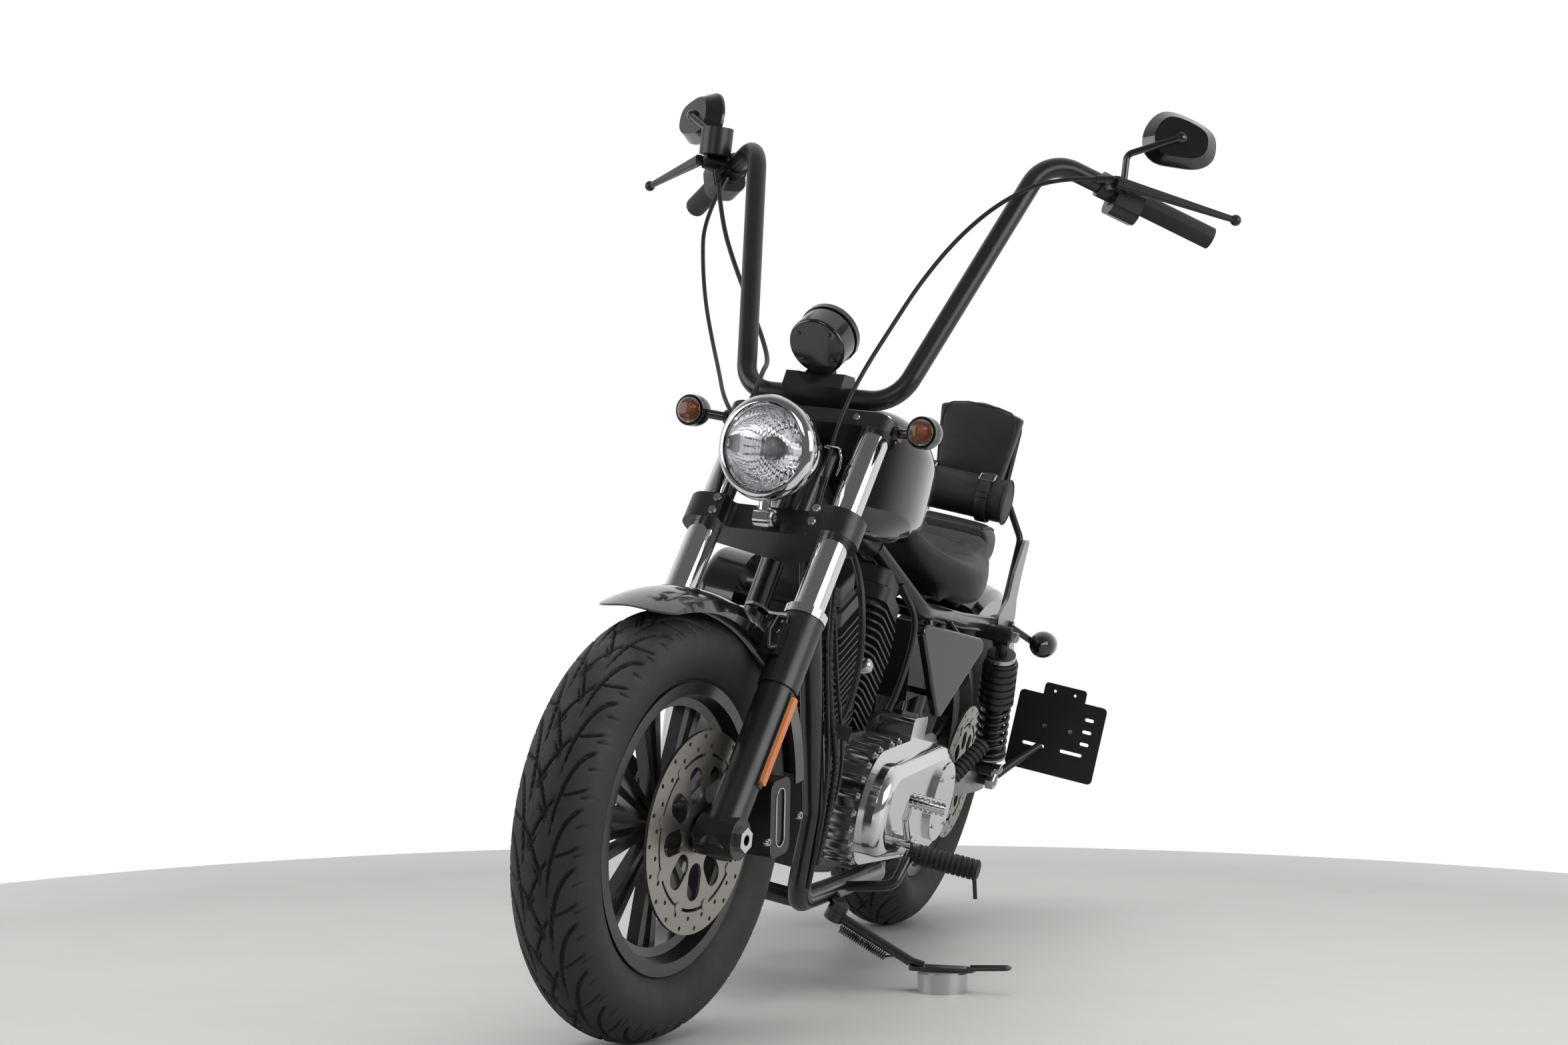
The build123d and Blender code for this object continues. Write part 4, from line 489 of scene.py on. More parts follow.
# %% Paints, metals, rubbers, leathers and lenses
gloss_paint = finish("gloss_paint", (0.0045, 0.0045, 0.005), 0.14, smudge=0.02, dust=0.01,
                     grain=260, grain_strength=0.05, grain_depth=0.0003, Coat_Weight=1.0, Coat_Roughness=0.03)
gloss_black = finish("gloss_black", (0.005, 0.005, 0.0055), 0.18, smudge=0.03, dust=0.02,
                     Coat_Weight=0.8, Coat_Roughness=0.06)
black_metal = finish("black_metal", (0.006, 0.006, 0.0065), 0.30, smudge=0.06, dust=0.05,
                     grain=500, grain_strength=0.08, Coat_Weight=0.5, Coat_Roughness=0.12)
satin_black = finish("satin_black", (0.0065, 0.0065, 0.007), 0.36, smudge=0.06, dust=0.03,
                     grain=900, grain_strength=0.12, Coat_Weight=0.2, Coat_Roughness=0.25)
cast_wheel = finish("cast_wheel", (0.006, 0.006, 0.0065), 0.26, smudge=0.07, dust=0.12,
                    grain=600, grain_strength=0.1, Coat_Weight=0.4, Coat_Roughness=0.15)
chrome = finish("chrome", (0.78, 0.78, 0.79), 0.07, 1.0, smudge=0.03, smudge_scale=14)
polished_alloy = finish("polished_alloy", (0.80, 0.80, 0.81), 0.13, 1.0, smudge=0.05, smudge_scale=18)
bright_steel = finish("bright_steel", (0.55, 0.55, 0.56), 0.22, 1.0, smudge=0.05, smudge_scale=40)
silver_paint = finish("silver_paint", (0.32, 0.32, 0.33), 0.36, 0.7, smudge=0.06, grain=1200,
                      grain_strength=0.1, Coat_Weight=0.3, Coat_Roughness=0.15)
shield_grey = finish("shield_grey", (0.10, 0.10, 0.10), 0.35, 0.4, smudge=0.05)
engine_black = finish("engine_black", (0.010, 0.010, 0.0105), 0.42, smudge=0.06, dust=0.12,
                      grain=1400, grain_strength=0.5, grain_depth=0.0005)
rubber = finish("rubber", (0.010, 0.010, 0.010), 0.6, smudge=0.05, dust=0.1,
                grain=1200, grain_strength=0.2)
peg_rubber = finish("peg_rubber", (0.012, 0.012, 0.012), 0.66, smudge=0.05, dust=0.35,
                    grain=1100, grain_strength=0.25)
cable_rubber = finish("cable_rubber", (0.008, 0.008, 0.0085), 0.42, smudge=0.05, dust=0.05,
                      grain=1500, grain_strength=0.1)
belt_rubber = finish("belt_rubber", (0.018, 0.018, 0.018), 0.7, smudge=0.04, dust=0.3,
                     grain=800, grain_strength=0.2)
tyre_rubber = finish("tyre_rubber", (0.015, 0.0147, 0.0144), 0.68, smudge=0.06, dust=0.22,
                     grain=700, grain_strength=0.25, grain_depth=0.0005)
seat_vinyl = finish("seat_vinyl", (0.009, 0.009, 0.0095), 0.42, smudge=0.05, dust=0.1,
                    leather=520, grain_strength=0.4, grain_depth=0.0004)
seat_thread = finish("seat_thread", (0.035, 0.035, 0.036), 0.7, smudge=0.05, grain=3000, grain_strength=0.4)
bag_leather = finish("bag_leather", (0.008, 0.0078, 0.0075), 0.5, smudge=0.07, dust=0.1,
                     leather=330, grain_strength=0.5, grain_depth=0.0005)
pad_plastic = finish("pad_plastic", (0.50, 0.50, 0.50), 0.32, 0.8, smudge=0.08, dust=0.1,
                     grain=500, grain_strength=0.1)
amber_lens = finish("amber_lens", (0.55, 0.16, 0.04), 0.22, smudge=0.03, dust=0.05,
                    grain=420, grain_strength=0.25, Coat_Weight=0.7, Coat_Roughness=0.05)
smoked_lens = finish("smoked_lens", (0.42, 0.40, 0.39), 0.04, smudge=0.01,
                     Transmission_Weight=1.0, IOR=1.35)
smoked_red = finish("smoked_red", (0.45, 0.10, 0.09), 0.04, smudge=0.01, Transmission_Weight=1.0, IOR=1.35)
amber_bulb = finish("amber_bulb", (0.85, 0.22, 0.02), 0.18, smudge=0.03, Coat_Weight=0.6, Coat_Roughness=0.04)
red_bulb = finish("red_bulb", (0.60, 0.03, 0.02), 0.2, smudge=0.03, Coat_Weight=0.6, Coat_Roughness=0.04)
silvered_glass = finish("silvered_glass", (0.86, 0.87, 0.88), 0.015, 1.0, smudge=0.01)
dial_face = finish("dial_face", (0.62, 0.62, 0.60), 0.5, smudge=0.04, grain=900, grain_strength=0.05)
clear_glass = finish("clear_glass", (0.97, 0.98, 0.99), 0.02, smudge=0.01,
                     Transmission_Weight=1.0, IOR=1.25)
print("materials", len(bpy.data.materials))

# %% Brushed discs: rings round each axle
disc_finish = {}
for wheel in ("front", "rear"):
    disc_steel = finish(f"{wheel}_disc_steel", (0.36, 0.34, 0.31), 0.34, 1.0, smudge=0.06)
    tree = disc_steel.node_tree
    shader = tree.nodes["Principled BSDF"]
    axle = joints[f"{wheel}_wheel_spin"]
    along = Vector(axle["axis"])
    turn = along.to_track_quat("Y", "Z").to_matrix()
    centre_on_axle = tree.nodes.new("ShaderNodeMapping")
    centre_on_axle.vector_type = "TEXTURE"
    centre_on_axle.inputs["Location"].default_value = axle["pos_m"]
    centre_on_axle.inputs["Rotation"].default_value = turn.to_euler()
    tree.links.new(tree.nodes["Texture Coordinate"].outputs["Object"], centre_on_axle.inputs["Vector"])
    rings = tree.nodes.new("ShaderNodeGroup")
    rings.node_tree = ring_group
    tree.links.new(centre_on_axle.outputs["Vector"], rings.inputs["Vector"])
    bump = tree.nodes.new("ShaderNodeBump")
    bump.inputs["Strength"].default_value = 0.3
    bump.inputs["Distance"].default_value = 0.0003
    tree.links.new(rings.outputs["Height"], bump.inputs["Height"])
    tree.links.new(bump.outputs["Normal"], shader.inputs["Normal"])
    disc_finish[f"{wheel}_disc"] = disc_steel
print("disc finishes", sorted(disc_finish))

# %% Floor finish, with painted light towards its rim
floor_finish = finish("floor_finish", (0.46, 0.46, 0.445), 0.5, smudge=0.08, smudge_scale=3.0)
floor_tree = floor_finish.node_tree
floor_where = floor_tree.nodes.new("ShaderNodeVectorMath")
floor_where.operation = "LENGTH"
floor_tree.links.new(floor_tree.nodes["Texture Coordinate"].outputs["Object"], floor_where.inputs[0])
# Painted light: from about 1.9 m out the floor's colour turns paler, fading into the white beyond
rim_light_fade = math_node(floor_tree, "MULTIPLY_ADD", floor_where.outputs["Value"], 1.6, -3.0, clamp=True)
pale = floor_tree.nodes.new("ShaderNodeMix")
pale.data_type = "RGBA"
pale.inputs["A"].default_value = (0.46, 0.46, 0.445, 1)
pale.inputs["B"].default_value = (0.62, 0.62, 0.61, 1)
floor_tree.links.new(rim_light_fade, pale.inputs["Factor"])
floor_tree.links.new(pale.outputs["Result"], floor_tree.nodes["Principled BSDF"].inputs["Base Color"])
floor.data.materials.append(floor_finish)

# %% [markdown]
# Every CAD node now gets the finish of its slot in the record. The names agree, so a
# table of slot to material is enough, with a few pieces that differ from their slot.

# %% Give every CAD node its finish
by_slot = {
    "cast_wheel": cast_wheel, "tyre": tyre_rubber, "brake_disc": disc_finish["front_disc"],
    "pulley": black_metal, "black_metal": black_metal, "satin_black": satin_black, "chrome": chrome,
    "amber_lens": amber_lens, "gloss_paint": gloss_paint, "gloss_black": gloss_black,
    "clear_glass": clear_glass, "smoked_lens": smoked_lens, "rubber": rubber,
    "cable_rubber": cable_rubber, "silver_paint": silver_paint, "engine_black": engine_black,
    "polished_alloy": polished_alloy, "seat_vinyl": seat_vinyl, "bag_leather": bag_leather,
    "belt_rubber": belt_rubber, "peg_rubber": peg_rubber, "pad_plastic": pad_plastic,
}
slot_of_node = {entry["node"]: entry["material_slot"] for entry in frame["record"]["subparts"]}
for node_name, node in frame["nodes"].items():
    node.data.materials.clear()
    node.data.materials.append(disc_finish.get(node_name, by_slot[slot_of_node[node_name]]))
print("dressed nodes", len(frame["nodes"]))


# %% The cables' finish
for cable in cables:
    cable.data.materials.append(cable_rubber)

# %% [markdown]
# ## Helpers for the added pieces
# Nearly all that is added is either turned on a lathe, such as a bolt head, or carried
# along a line, such as piping. Both are a grid of points, and many of them can be
# joined in one mesh, so that forty bolts are still one piece.


# %% Grids of points, and one mesh from many grids
def square_to(way):
    """A direction of length one, and two more square to it and to each other."""
    way = np.asarray(way, float) / np.linalg.norm(way)
    helper = np.array([0, 0, 1.0]) if abs(way[2]) < 0.9 else np.array([1.0, 0, 0])
    across = np.cross(helper, way)
    across /= np.linalg.norm(across)
    return way, across, np.cross(way, across)


def turned_form(profile, centre, way, around=24):
    """A lathe: each (along, radius) in metres is a ring that far along the way, of that radius."""
    way, across, up = square_to(way)
    along, radius = np.asarray(profile, float).T
    angle = np.linspace(0, 2 * math.pi, around, endpoint=False)
    ring = np.cos(angle)[:, None] * across + np.sin(angle)[:, None] * up
    return np.asarray(centre) + along[:, None, None] * way + radius[:, None, None] * ring


def carried_round(path, radius, around=10, closed=False):
    """A tube: at each point of the path a ring square to its run, its sides set square to the way out from the
    path's middle.
    """
    path = np.asarray(path, float)
    if closed:
        run = np.roll(path, -1, axis=0) - np.roll(path, 1, axis=0)
    else:
        run = np.gradient(path, axis=0)
    run /= np.linalg.norm(run, axis=1)[:, None]
    middle = path.mean(axis=0)
    side = np.cross(run, path - middle)
    plain = np.linalg.norm(side, axis=1) < 1e-6
    side[plain] = np.cross(run[plain], (0.31, 0.17, 0.93))
    side /= np.linalg.norm(side, axis=1)[:, None]
    up = np.cross(run, side)
    angle = np.linspace(0, 2 * math.pi, around, endpoint=False)[:, None]
    ring = np.cos(angle) * side[:, None, :] + np.sin(angle) * up[:, None, :]
    return path[:, None, :] + ring * np.broadcast_to(radius, len(path))[:, None, None]


def joined_piece(name, grids, body, material, closed=False, smooth=True):
    """One mesh of many tubes or turned forms, each closed round, with a cap at either end."""
    corners, faces, start = [], [], 0
    for grid in grids:
        rows, columns = grid.shape[:2]
        i, j = np.meshgrid(np.arange(rows if closed else rows - 1), np.arange(columns), indexing="ij")
        next_i, next_j = (i + 1) % rows, (j + 1) % columns
        quads = np.stack([i * columns + j, next_i * columns + j,
                          next_i * columns + next_j, i * columns + next_j], axis=-1)
        faces += (quads.reshape(-1, 4) + start).tolist()
        if not closed:
            faces.append(list(range(start, start + columns)))
            faces.append(list(range(start + rows * columns - 1, start + (rows - 1) * columns - 1, -1)))
        corners.append(grid.reshape(-1, 3))
        start += rows * columns
    mesh = bpy.data.meshes.new(name)
    mesh.from_pydata(np.concatenate(corners).tolist(), [], faces)
    return settle(name, mesh, body, material, smooth)


def settle(name, mesh, body, material, smooth=True):
    """Turns a new mesh's faces outward and puts it on its body with its finish."""
    work = bmesh.new()
    work.from_mesh(mesh)
    bmesh.ops.recalc_face_normals(work, faces=work.faces)
    work.to_mesh(mesh)
    work.free()
    piece = new_piece(name, mesh, smooth=False)
    if smooth:
        mesh.shade_smooth()
        mesh.set_sharp_from_angle(angle=0.7)
    mesh.materials.append(material)
    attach(piece, body)
    return piece


print("helpers ready")

# %% [markdown]
# ## Tyres with their tread
# A cruiser's tyre is round across, with long grooves that sweep from the middle to the
# shoulder, short cuts that cross them, and a row of blocks at the shoulder. The CAD
# tyre is smooth. Here its section is carried round the axle as a fine grid, and each
# point sinks by the depth of the groove that it lies in, so the grooves are real.


# %% Section of a tyre
def arc_through(first, middle, last, count):
    """Points on the circle through three points, evenly spaced by angle."""
    (ax, ay), (bx, by), (cx, cy) = first, middle, last
    twice = 2 * (ax * (by - cy) + bx * (cy - ay) + cx * (ay - by))
    a2, b2, c2 = ax * ax + ay * ay, bx * bx + by * by, cx * cx + cy * cy
    x = (a2 * (by - cy) + b2 * (cy - ay) + c2 * (ay - by)) / twice
    y = (a2 * (cx - bx) + b2 * (ax - cx) + c2 * (bx - ax)) / twice
    start = math.atan2(ay - y, ax - x)
    sweep = (math.atan2(cy - y, cx - x) - start + math.pi) % (2 * math.pi) - math.pi
    half_way = (math.atan2(by - y, bx - x) - start + math.pi) % (2 * math.pi) - math.pi
    if sweep * half_way < 0:
        sweep += math.copysign(2 * math.pi, half_way)
    angle = start + np.linspace(0, 1, count) * sweep
    radius = math.hypot(ax - x, ay - y)
    return np.stack([x + radius * np.cos(angle), y + radius * np.sin(angle)], axis=-1)


def tyre_section(radius, width, crown, rim_width):
    """Across and radius, in millimetres: left bead to tread to right bead, then back inside."""
    half = width / 2
    edge_y = half - 9
    edge_r = radius - crown + math.sqrt(crown ** 2 - edge_y ** 2)
    bead_y, bead_r, lip_r, wall = rim_width / 2 - 6.3, 203.3, 218.0, 11.0
    side_r = (edge_r + lip_r) / 2 + 4
    left_wall = arc_through((-bead_y, lip_r), (-half, side_r), (-edge_y, edge_r), 12)
    tread = arc_through((-edge_y, edge_r), (0, radius), (edge_y, edge_r), 62)
    inside = arc_through((edge_y - wall, edge_r - wall), (0, radius - wall),
                         (wall - edge_y, edge_r - wall), 5)
    bead = [(bead_y, bead_r), (bead_y - wall, bead_r), (bead_y - wall, lip_r)]
    other_bead = [(-y, r) for y, r in reversed(bead)]
    right_wall = left_wall[::-1] * (-1, 1)
    return np.concatenate([left_wall, tread[1:-1], right_wall, bead, inside, other_bead])


print("points round a section", len(tyre_section(320, 130, 72, 92)))


# %% Depth of the tread
def groove(ahead, across, middle, slope, low, high, width, depth, pitch):
    """One cut per pitch: full depth on its line, none past half its width or beyond its ends."""
    nearest = np.abs((ahead - middle + 0.5 * pitch) % pitch - 0.5 * pitch)
    off_line = nearest / np.sqrt(1 + slope ** 2)
    side = np.clip((width / 2 - off_line) / 1.0 + 0.5, 0, 1)
    ends = np.clip((across - low) / 5, 0, 1) * np.clip((high - across) / 5, 0, 1)
    return depth * side * ends


def tread_depth(ahead, across, edge, pitch):
    """Depth in millimetres of the deepest cut at each point, of six kinds a side.

    The arc runs round the tyre near the middle and bends out to the shoulder: its place
    round the tyre is a length times one less a falling exponential of the way across.
    """
    deepest = np.zeros_like(ahead)
    for side in (-1, 1):
        y = across * side
        x = ahead + (0.5 * pitch if side < 0 else 0)
        bend = np.exp(-np.clip(y - 17, 0, None) / 15)
        arc, arc_slope = 150 * (1 - bend), 10 * bend
        long_cut, long_slope = 20 + 2.3 * y - 0.012 * y ** 2, 2.3 - 0.024 * y
        branch, branch_slope = 64 + 0.25 * (y - 24) + 0.010 * (y - 24) ** 2, 0.25 + 0.020 * (y - 24)
        for cut in (
            (x, y, arc, arc_slope, 17, edge + 3, 4.6, 4.6),
            (x, y, long_cut, long_slope, -15, 21, 4.2, 4.4),
            (x, y, 46 - 1.9 * y, 1.9 + 0 * y, -3, 13, 3.4, 3.6),
            (x, y, 92 - 1.9 * y, 1.9 + 0 * y, 15, 25, 3.0, 3.2),
            (x, y, branch, branch_slope, 25, edge + 5, 3.8, 3.8),
            (2 * x, y, 0.9 * y, 0 * y, edge - 5, edge + 9, 7.6, 2.4),
        ):
            deepest = np.maximum(deepest, groove(*cut, pitch))
    return deepest


PITCHES, ROUND = 23, 920
print("cuts round a tyre", PITCHES * 14)


# %% Carry the section round both axles
def make_tyre(name, node, body, section, place):
    """The section turned about the axle, each point drawn in along its own outward direction."""
    outer = section[:, 1].max()
    pitch = 2 * math.pi * outer / PITCHES
    run = np.roll(section, -1, axis=0) - np.roll(section, 1, axis=0)
    outward = np.stack([-run[:, 1], run[:, 0]], axis=-1)
    outward /= np.linalg.norm(outward, axis=1)[:, None]
    angle = np.linspace(0, 2 * math.pi, ROUND, endpoint=False)
    edge = section[12:70, 0].max()
    ahead = np.broadcast_to(angle[:, None] * outer, (ROUND, len(section)))
    across = np.broadcast_to(section[:, 0], ahead.shape)
    cut = tread_depth(ahead, across, edge, pitch)
    facing = np.arange(len(section)) < 84
    on_tread = facing & (section[:, 1] > 0.86 * outer)
    cut = cut * on_tread
    on_wall = facing & ~on_tread
    ridge = sum(np.exp(-((section[:, 1] - at) / 1.3) ** 2) for at in (226, 232, 262, 268))
    cut = cut - 0.5 * ridge * on_wall
    moved = section[None] - cut[..., None] * outward
    flat, height = moved[..., 0], moved[..., 1]
    places = np.stack([height * np.cos(angle)[:, None], flat, height * np.sin(angle)[:, None]], axis=-1)
    mesh = grid_mesh(name, place(places), close_u=True, close_v=True)
    tyre = settle(name, mesh, body, tyre_rubber)
    # Painted shade: each point keeps the depth of its groove, which darkens the rubber there
    shade = tyre.data.attributes.new("groove", "FLOAT", "POINT")
    shade.data.foreach_set("value", np.clip(cut / 4, 0, 1).astype(np.float32).ravel())
    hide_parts(node)
    return tyre


front_tread = make_tyre("front_tyre_tread", "front_tyre", "front_wheel",
                        tyre_section(320, 130, 72, 92), on_fork)
rear_tread = make_tyre("rear_tyre_tread", "rear_tyre", "rear_wheel",
                       tyre_section(323, 150, 84, 100), on_rear_wheel)
print("tyre points", len(front_tread.data.vertices), len(rear_tread.data.vertices))

# %% Painted shade: the grooves are darker, the more so the deeper they are
rubber_tree = tyre_rubber.node_tree
groove_shade_mask = rubber_tree.nodes.new("ShaderNodeAttribute")
groove_shade_mask.attribute_name = "groove"
shaded = rubber_tree.nodes.new("ShaderNodeMix")
shaded.data_type = "RGBA"
# the colour of the painted shade in a groove 4 mm deep or more
shaded.inputs["B"].default_value = (0.004, 0.004, 0.004, 1)
rubber_shader = rubber_tree.nodes["Principled BSDF"]
rubber_tree.links.new(rubber_shader.inputs["Base Color"].links[0].from_socket, shaded.inputs["A"])
rubber_tree.links.new(groove_shade_mask.outputs["Fac"], shaded.inputs["Factor"])
rubber_tree.links.new(shaded.outputs["Result"], rubber_shader.inputs["Base Color"])

# %% [markdown]
# ## Seats, backrest pad and roll bag
# Foam under stretched vinyl is never flat: it crowns in the middle and is pulled tight
# along its seams. Cloth simulation gives that. The form is copied, remeshed into even
# small quads, pumped up a little with no gravity, and held where it rests on the frame.
# How far a point may move is capped, so that it stays close to the form.


# %% Pump up a padded form
def faces_upward(points, normals):
    """How far each normal points up on the upright machine, from -1 to 1."""
    return normals @ machine_axes[2]


def padded_form(name, node, body, material, held, voxel=0.006, shrink=0.004, pressure=4.0,
                cap=0.010, rounding=6):
    """The CAD form, evened out and pulled in, then swollen by the cloth solver and capped."""
    source = frame["nodes"][node].data.copy()
    work = bmesh.new()
    work.from_mesh(source)
    bmesh.ops.remove_doubles(work, verts=work.verts, dist=1e-5)
    work.to_mesh(source)
    work.free()
    pad = bpy.data.objects.new(name, source)
    bpy.context.scene.collection.objects.link(pad)
    even = pad.modifiers.new("even", "REMESH")
    even.mode = "VOXEL"
    even.voxel_size = voxel
    rounded = pad.modifiers.new("rounded", "SMOOTH")
    rounded.iterations = rounding
    take_shape(pad)
    points, normals = shape_of(pad)
    points = points - normals * shrink
    pad.data.vertices.foreach_set("co", points.ravel())
    group = pad.vertex_groups.new(name="held")
    on_frame = np.nonzero(held(points, normals))[0]
    group.add(on_frame.tolist(), 1.0, "REPLACE")
    cloth = pad.modifiers.new("cloth", "CLOTH")
    cloth.settings.tension_stiffness = cloth.settings.compression_stiffness = 60
    cloth.settings.bending_stiffness = 30
    cloth.settings.use_pressure = True
    cloth.settings.uniform_pressure_force = pressure
    cloth.settings.vertex_group_mass = "held"
    cloth.settings.effector_weights.gravity = 0
    cloth.point_cache.frame_start, cloth.point_cache.frame_end = 1, 20
    for step in range(1, 21):
        bpy.context.scene.frame_set(step)
    take_shape(pad)
    bpy.context.scene.frame_set(1)
    pad.vertex_groups.clear()
    swollen, _ = shape_of(pad)
    moved = swollen - points
    length = np.linalg.norm(moved, axis=1)[:, None]
    points = points + moved * np.minimum(1, cap / np.maximum(length, 1e-9))
    pad.data.vertices.foreach_set("co", points.ravel())
    taut = pad.modifiers.new("taut", "SMOOTH")
    taut.iterations = 14
    take_shape(pad)
    print(name, "swelled by", round(float(np.minimum(length, cap).mean()) * 1000, 1), "mm")
    pad.data.shade_smooth()
    pad.data.materials.clear()
    pad.data.materials.append(material)
    pad.data.update()
    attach(pad, body)
    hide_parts(node)
    return pad


def take_shape(pad):
    """Bakes the modifiers into the mesh and removes them."""
    shaped = bpy.data.meshes.new_from_object(pad.evaluated_get(bpy.context.evaluated_depsgraph_get()))
    pad.modifiers.clear()
    pad.data = shaped


def shape_of(pad):
    """Its points and their normals, as arrays."""
    count = len(pad.data.vertices)
    points, normals = np.empty(count * 3), np.empty(count * 3)
    pad.data.vertices.foreach_get("co", points)
    pad.data.vertex_normals.foreach_get("vector", normals)
    return points.reshape(-1, 3), normals.reshape(-1, 3)


def to_machine(points):
    """Back from the parked machine to upright millimetres."""
    return (points - ground_point) @ machine_axes.T * 1000


def press_in(pad, depth_of):
    """Moves each point in along its normal by a depth in millimetres, given in upright millimetres."""
    points, normals = shape_of(pad)
    upright = to_machine(points)
    depth = depth_of(upright, normals @ machine_axes.T)
    pad.data.vertices.foreach_set("co", (points - normals * depth[:, None] / 1000).ravel())
    pad.data.update()


def finer(pad):
    """One subdivision, the same in view and render."""
    fine = pad.modifiers.new("fine", "SUBSURF")
    fine.levels = fine.render_levels = 1
    take_shape(pad)
    pad.data.shade_smooth()


def under_side(points, normals):
    """What rests on the frame: points that face down."""
    return faces_upward(points, normals) < -0.55


def middle_of_back(points, normals):
    """Where the backrest is screwed to its rods: the middle of its rear face."""
    upright = to_machine(points)
    return ((normals @ machine_axes[0] < -0.7) & (np.abs(upright[:, 1]) < 50)
            & (np.abs(upright[:, 2] - 940) < 50))


rider_pad = padded_form("rider_cushion", "rider_seat", "chassis", seat_vinyl, under_side,
                        cap=0.008)
pillion_pad = padded_form("pillion_cushion", "pillion_seat", "chassis", seat_vinyl, under_side,
                          voxel=0.006, cap=0.007)
back_pad = padded_form("backrest_cushion", "sissy_pad", "chassis", seat_vinyl,
                       middle_of_back, voxel=0.005, cap=0.006, rounding=28)
bag_form = padded_form("roll_bag_shell", "roll_bag", "chassis", bag_leather,
                       lambda points, normals: np.abs(to_machine(points)[:, 1]) > 96, voxel=0.005,
                       shrink=0.003, cap=0.004)

# %% [markdown]
# A seam is sewn after the foam is in, so it pulls the vinyl down in a narrow valley.
# The rider's seat has a bank of five such lines across its rear, each pressed into the
# finer mesh with a thin thread in it. The pillion has a round welt along its sides and
# rear, and the backrest has one round its face.


# %% Lines that follow a padded surface
def drop_onto(pad, points, way, lift=0.0):
    """Each point carried along a direction until it meets the pad, then lifted off it a little."""
    tree = BVHTree.FromObject(pad, bpy.context.evaluated_depsgraph_get())
    found = []
    for point in points:
        place, normal, _, _ = tree.ray_cast(Vector(point), Vector(way))
        if place is not None:
            found.append(np.array(place) + np.array(normal) * lift)
    return np.array(found)


def valley(distance, width, depth):
    """A rounded groove: deepest on its line and gone at about twice its width."""
    return depth * np.exp(-(distance / width) ** 2)


finer(rider_pad)
finer(pillion_pad)
finer(back_pad)
finer(bag_form)
down = -machine_axes[2]
SEAT_LINES = [0, 9, 18, 27, 36]


def seat_line(points_y, behind):
    """Along the machine, for a place across it: an arc that curves forward at the sides."""
    return -404 - behind + 0.0020 * points_y ** 2


def seat_dents(upright, normal):
    """Five stitched valleys, only on the top of the seat and away from its sides."""
    top = np.clip((normal[:, 2] - 0.2) / 0.3, 0, 1)
    sides = np.clip((118 - np.abs(upright[:, 1])) / 12, 0, 1)
    return sum(valley(upright[:, 0] - seat_line(upright[:, 1], at), 2.6, 1.5)
               for at in SEAT_LINES) * top * sides


press_in(rider_pad, seat_dents)
threads = []
across_seat = np.linspace(-112, 112, 72)
for behind in SEAT_LINES:
    above = np.stack([seat_line(across_seat, behind), across_seat, np.full(72, 900.0)], axis=-1)
    threads.append(carried_round(drop_onto(rider_pad, on_machine(above), down, 0.0002), 0.0007, 6))
joined_piece("rider_seat_stitching", threads, "chassis", seat_thread)
print("stitched lines", len(threads))


# %% Welt along the pillion's sides and across its rear
share = np.linspace(0, 1, 60)
pillion_half = 96 - 26 * np.clip((share - 0.5) / 0.5, 0, 1) ** 2
welts = []
for side in (-1, 1):
    route = np.stack([-462 - 158 * share, side * pillion_half, np.full(60, 900.0)], axis=-1)
    welts.append(carried_round(drop_onto(pillion_pad, on_machine(route), down, 0.0006), 0.0021, 10))
rear_y = np.linspace(-70, 70, 40)
back_route = np.stack([-620 + 0.0006 * rear_y ** 2, rear_y, np.full(40, 900.0)], axis=-1)
welts.append(carried_round(drop_onto(pillion_pad, on_machine(back_route), down, 0.0006), 0.0021, 10))
joined_piece("pillion_welt", welts, "chassis", seat_vinyl)

# %% Welt round the backrest's face
pad_low, pad_high = 862.0, 1030.0


def pad_edge(turn, inset):
    """The face's outline, a rounded trapezoid: a superellipse whose width grows with height."""
    c, s = np.cos(turn), np.sin(turn)
    y = np.sign(c) * np.abs(c) ** 0.42
    z = np.sign(s) * np.abs(s) ** 0.5
    height = (pad_low + pad_high) / 2 + (z * ((pad_high - pad_low) / 2 - inset))
    width = (66 + 18 * (height - pad_low) / (pad_high - pad_low)) - inset
    return y * width, height


turn = np.linspace(0, 2 * math.pi, 121)[:-1]
edge_y, edge_z = pad_edge(turn, 7)
in_front = np.stack([np.full(120, -560.0), edge_y, edge_z], axis=-1)
back_line = drop_onto(back_pad, on_machine(in_front), -machine_axes[0], 0.0006)
joined_piece("backrest_welt", [carried_round(back_line, 0.0019, 10, closed=True)],
             "chassis", seat_vinyl, closed=True)
print("welt points", len(back_line))

# %% [markdown]
# The roll bag is a leather tube held by two straps, each with a chrome buckle, and its
# round ends are sewn in. A strap is a flat band carried round the tube, thicker than
# the leather and a little proud of it.

# %% Straps, buckles and end welts of the roll bag
bag_axis_x, bag_axis_z, bag_radius = -606.0, 854.3, 44.0


def band_round(at_y, width, radius, thick, start=0.0, end=2 * math.pi, count=64):
    """A flat strap round the bag's axis: its rounded-edged section at each angle."""
    angle = np.linspace(start, end, count)
    section = np.array([(-0.5, 0), (-0.5, 0.6), (-0.44, 1), (0.44, 1), (0.5, 0.6), (0.5, 0)])
    along = at_y + section[:, 0] * width
    reach = radius + section[:, 1] * thick
    points = np.stack([bag_axis_x + np.cos(angle)[:, None] * reach, np.broadcast_to(along, (count, 6)),
                       bag_axis_z + np.sin(angle)[:, None] * reach], axis=-1)
    return on_machine(points)


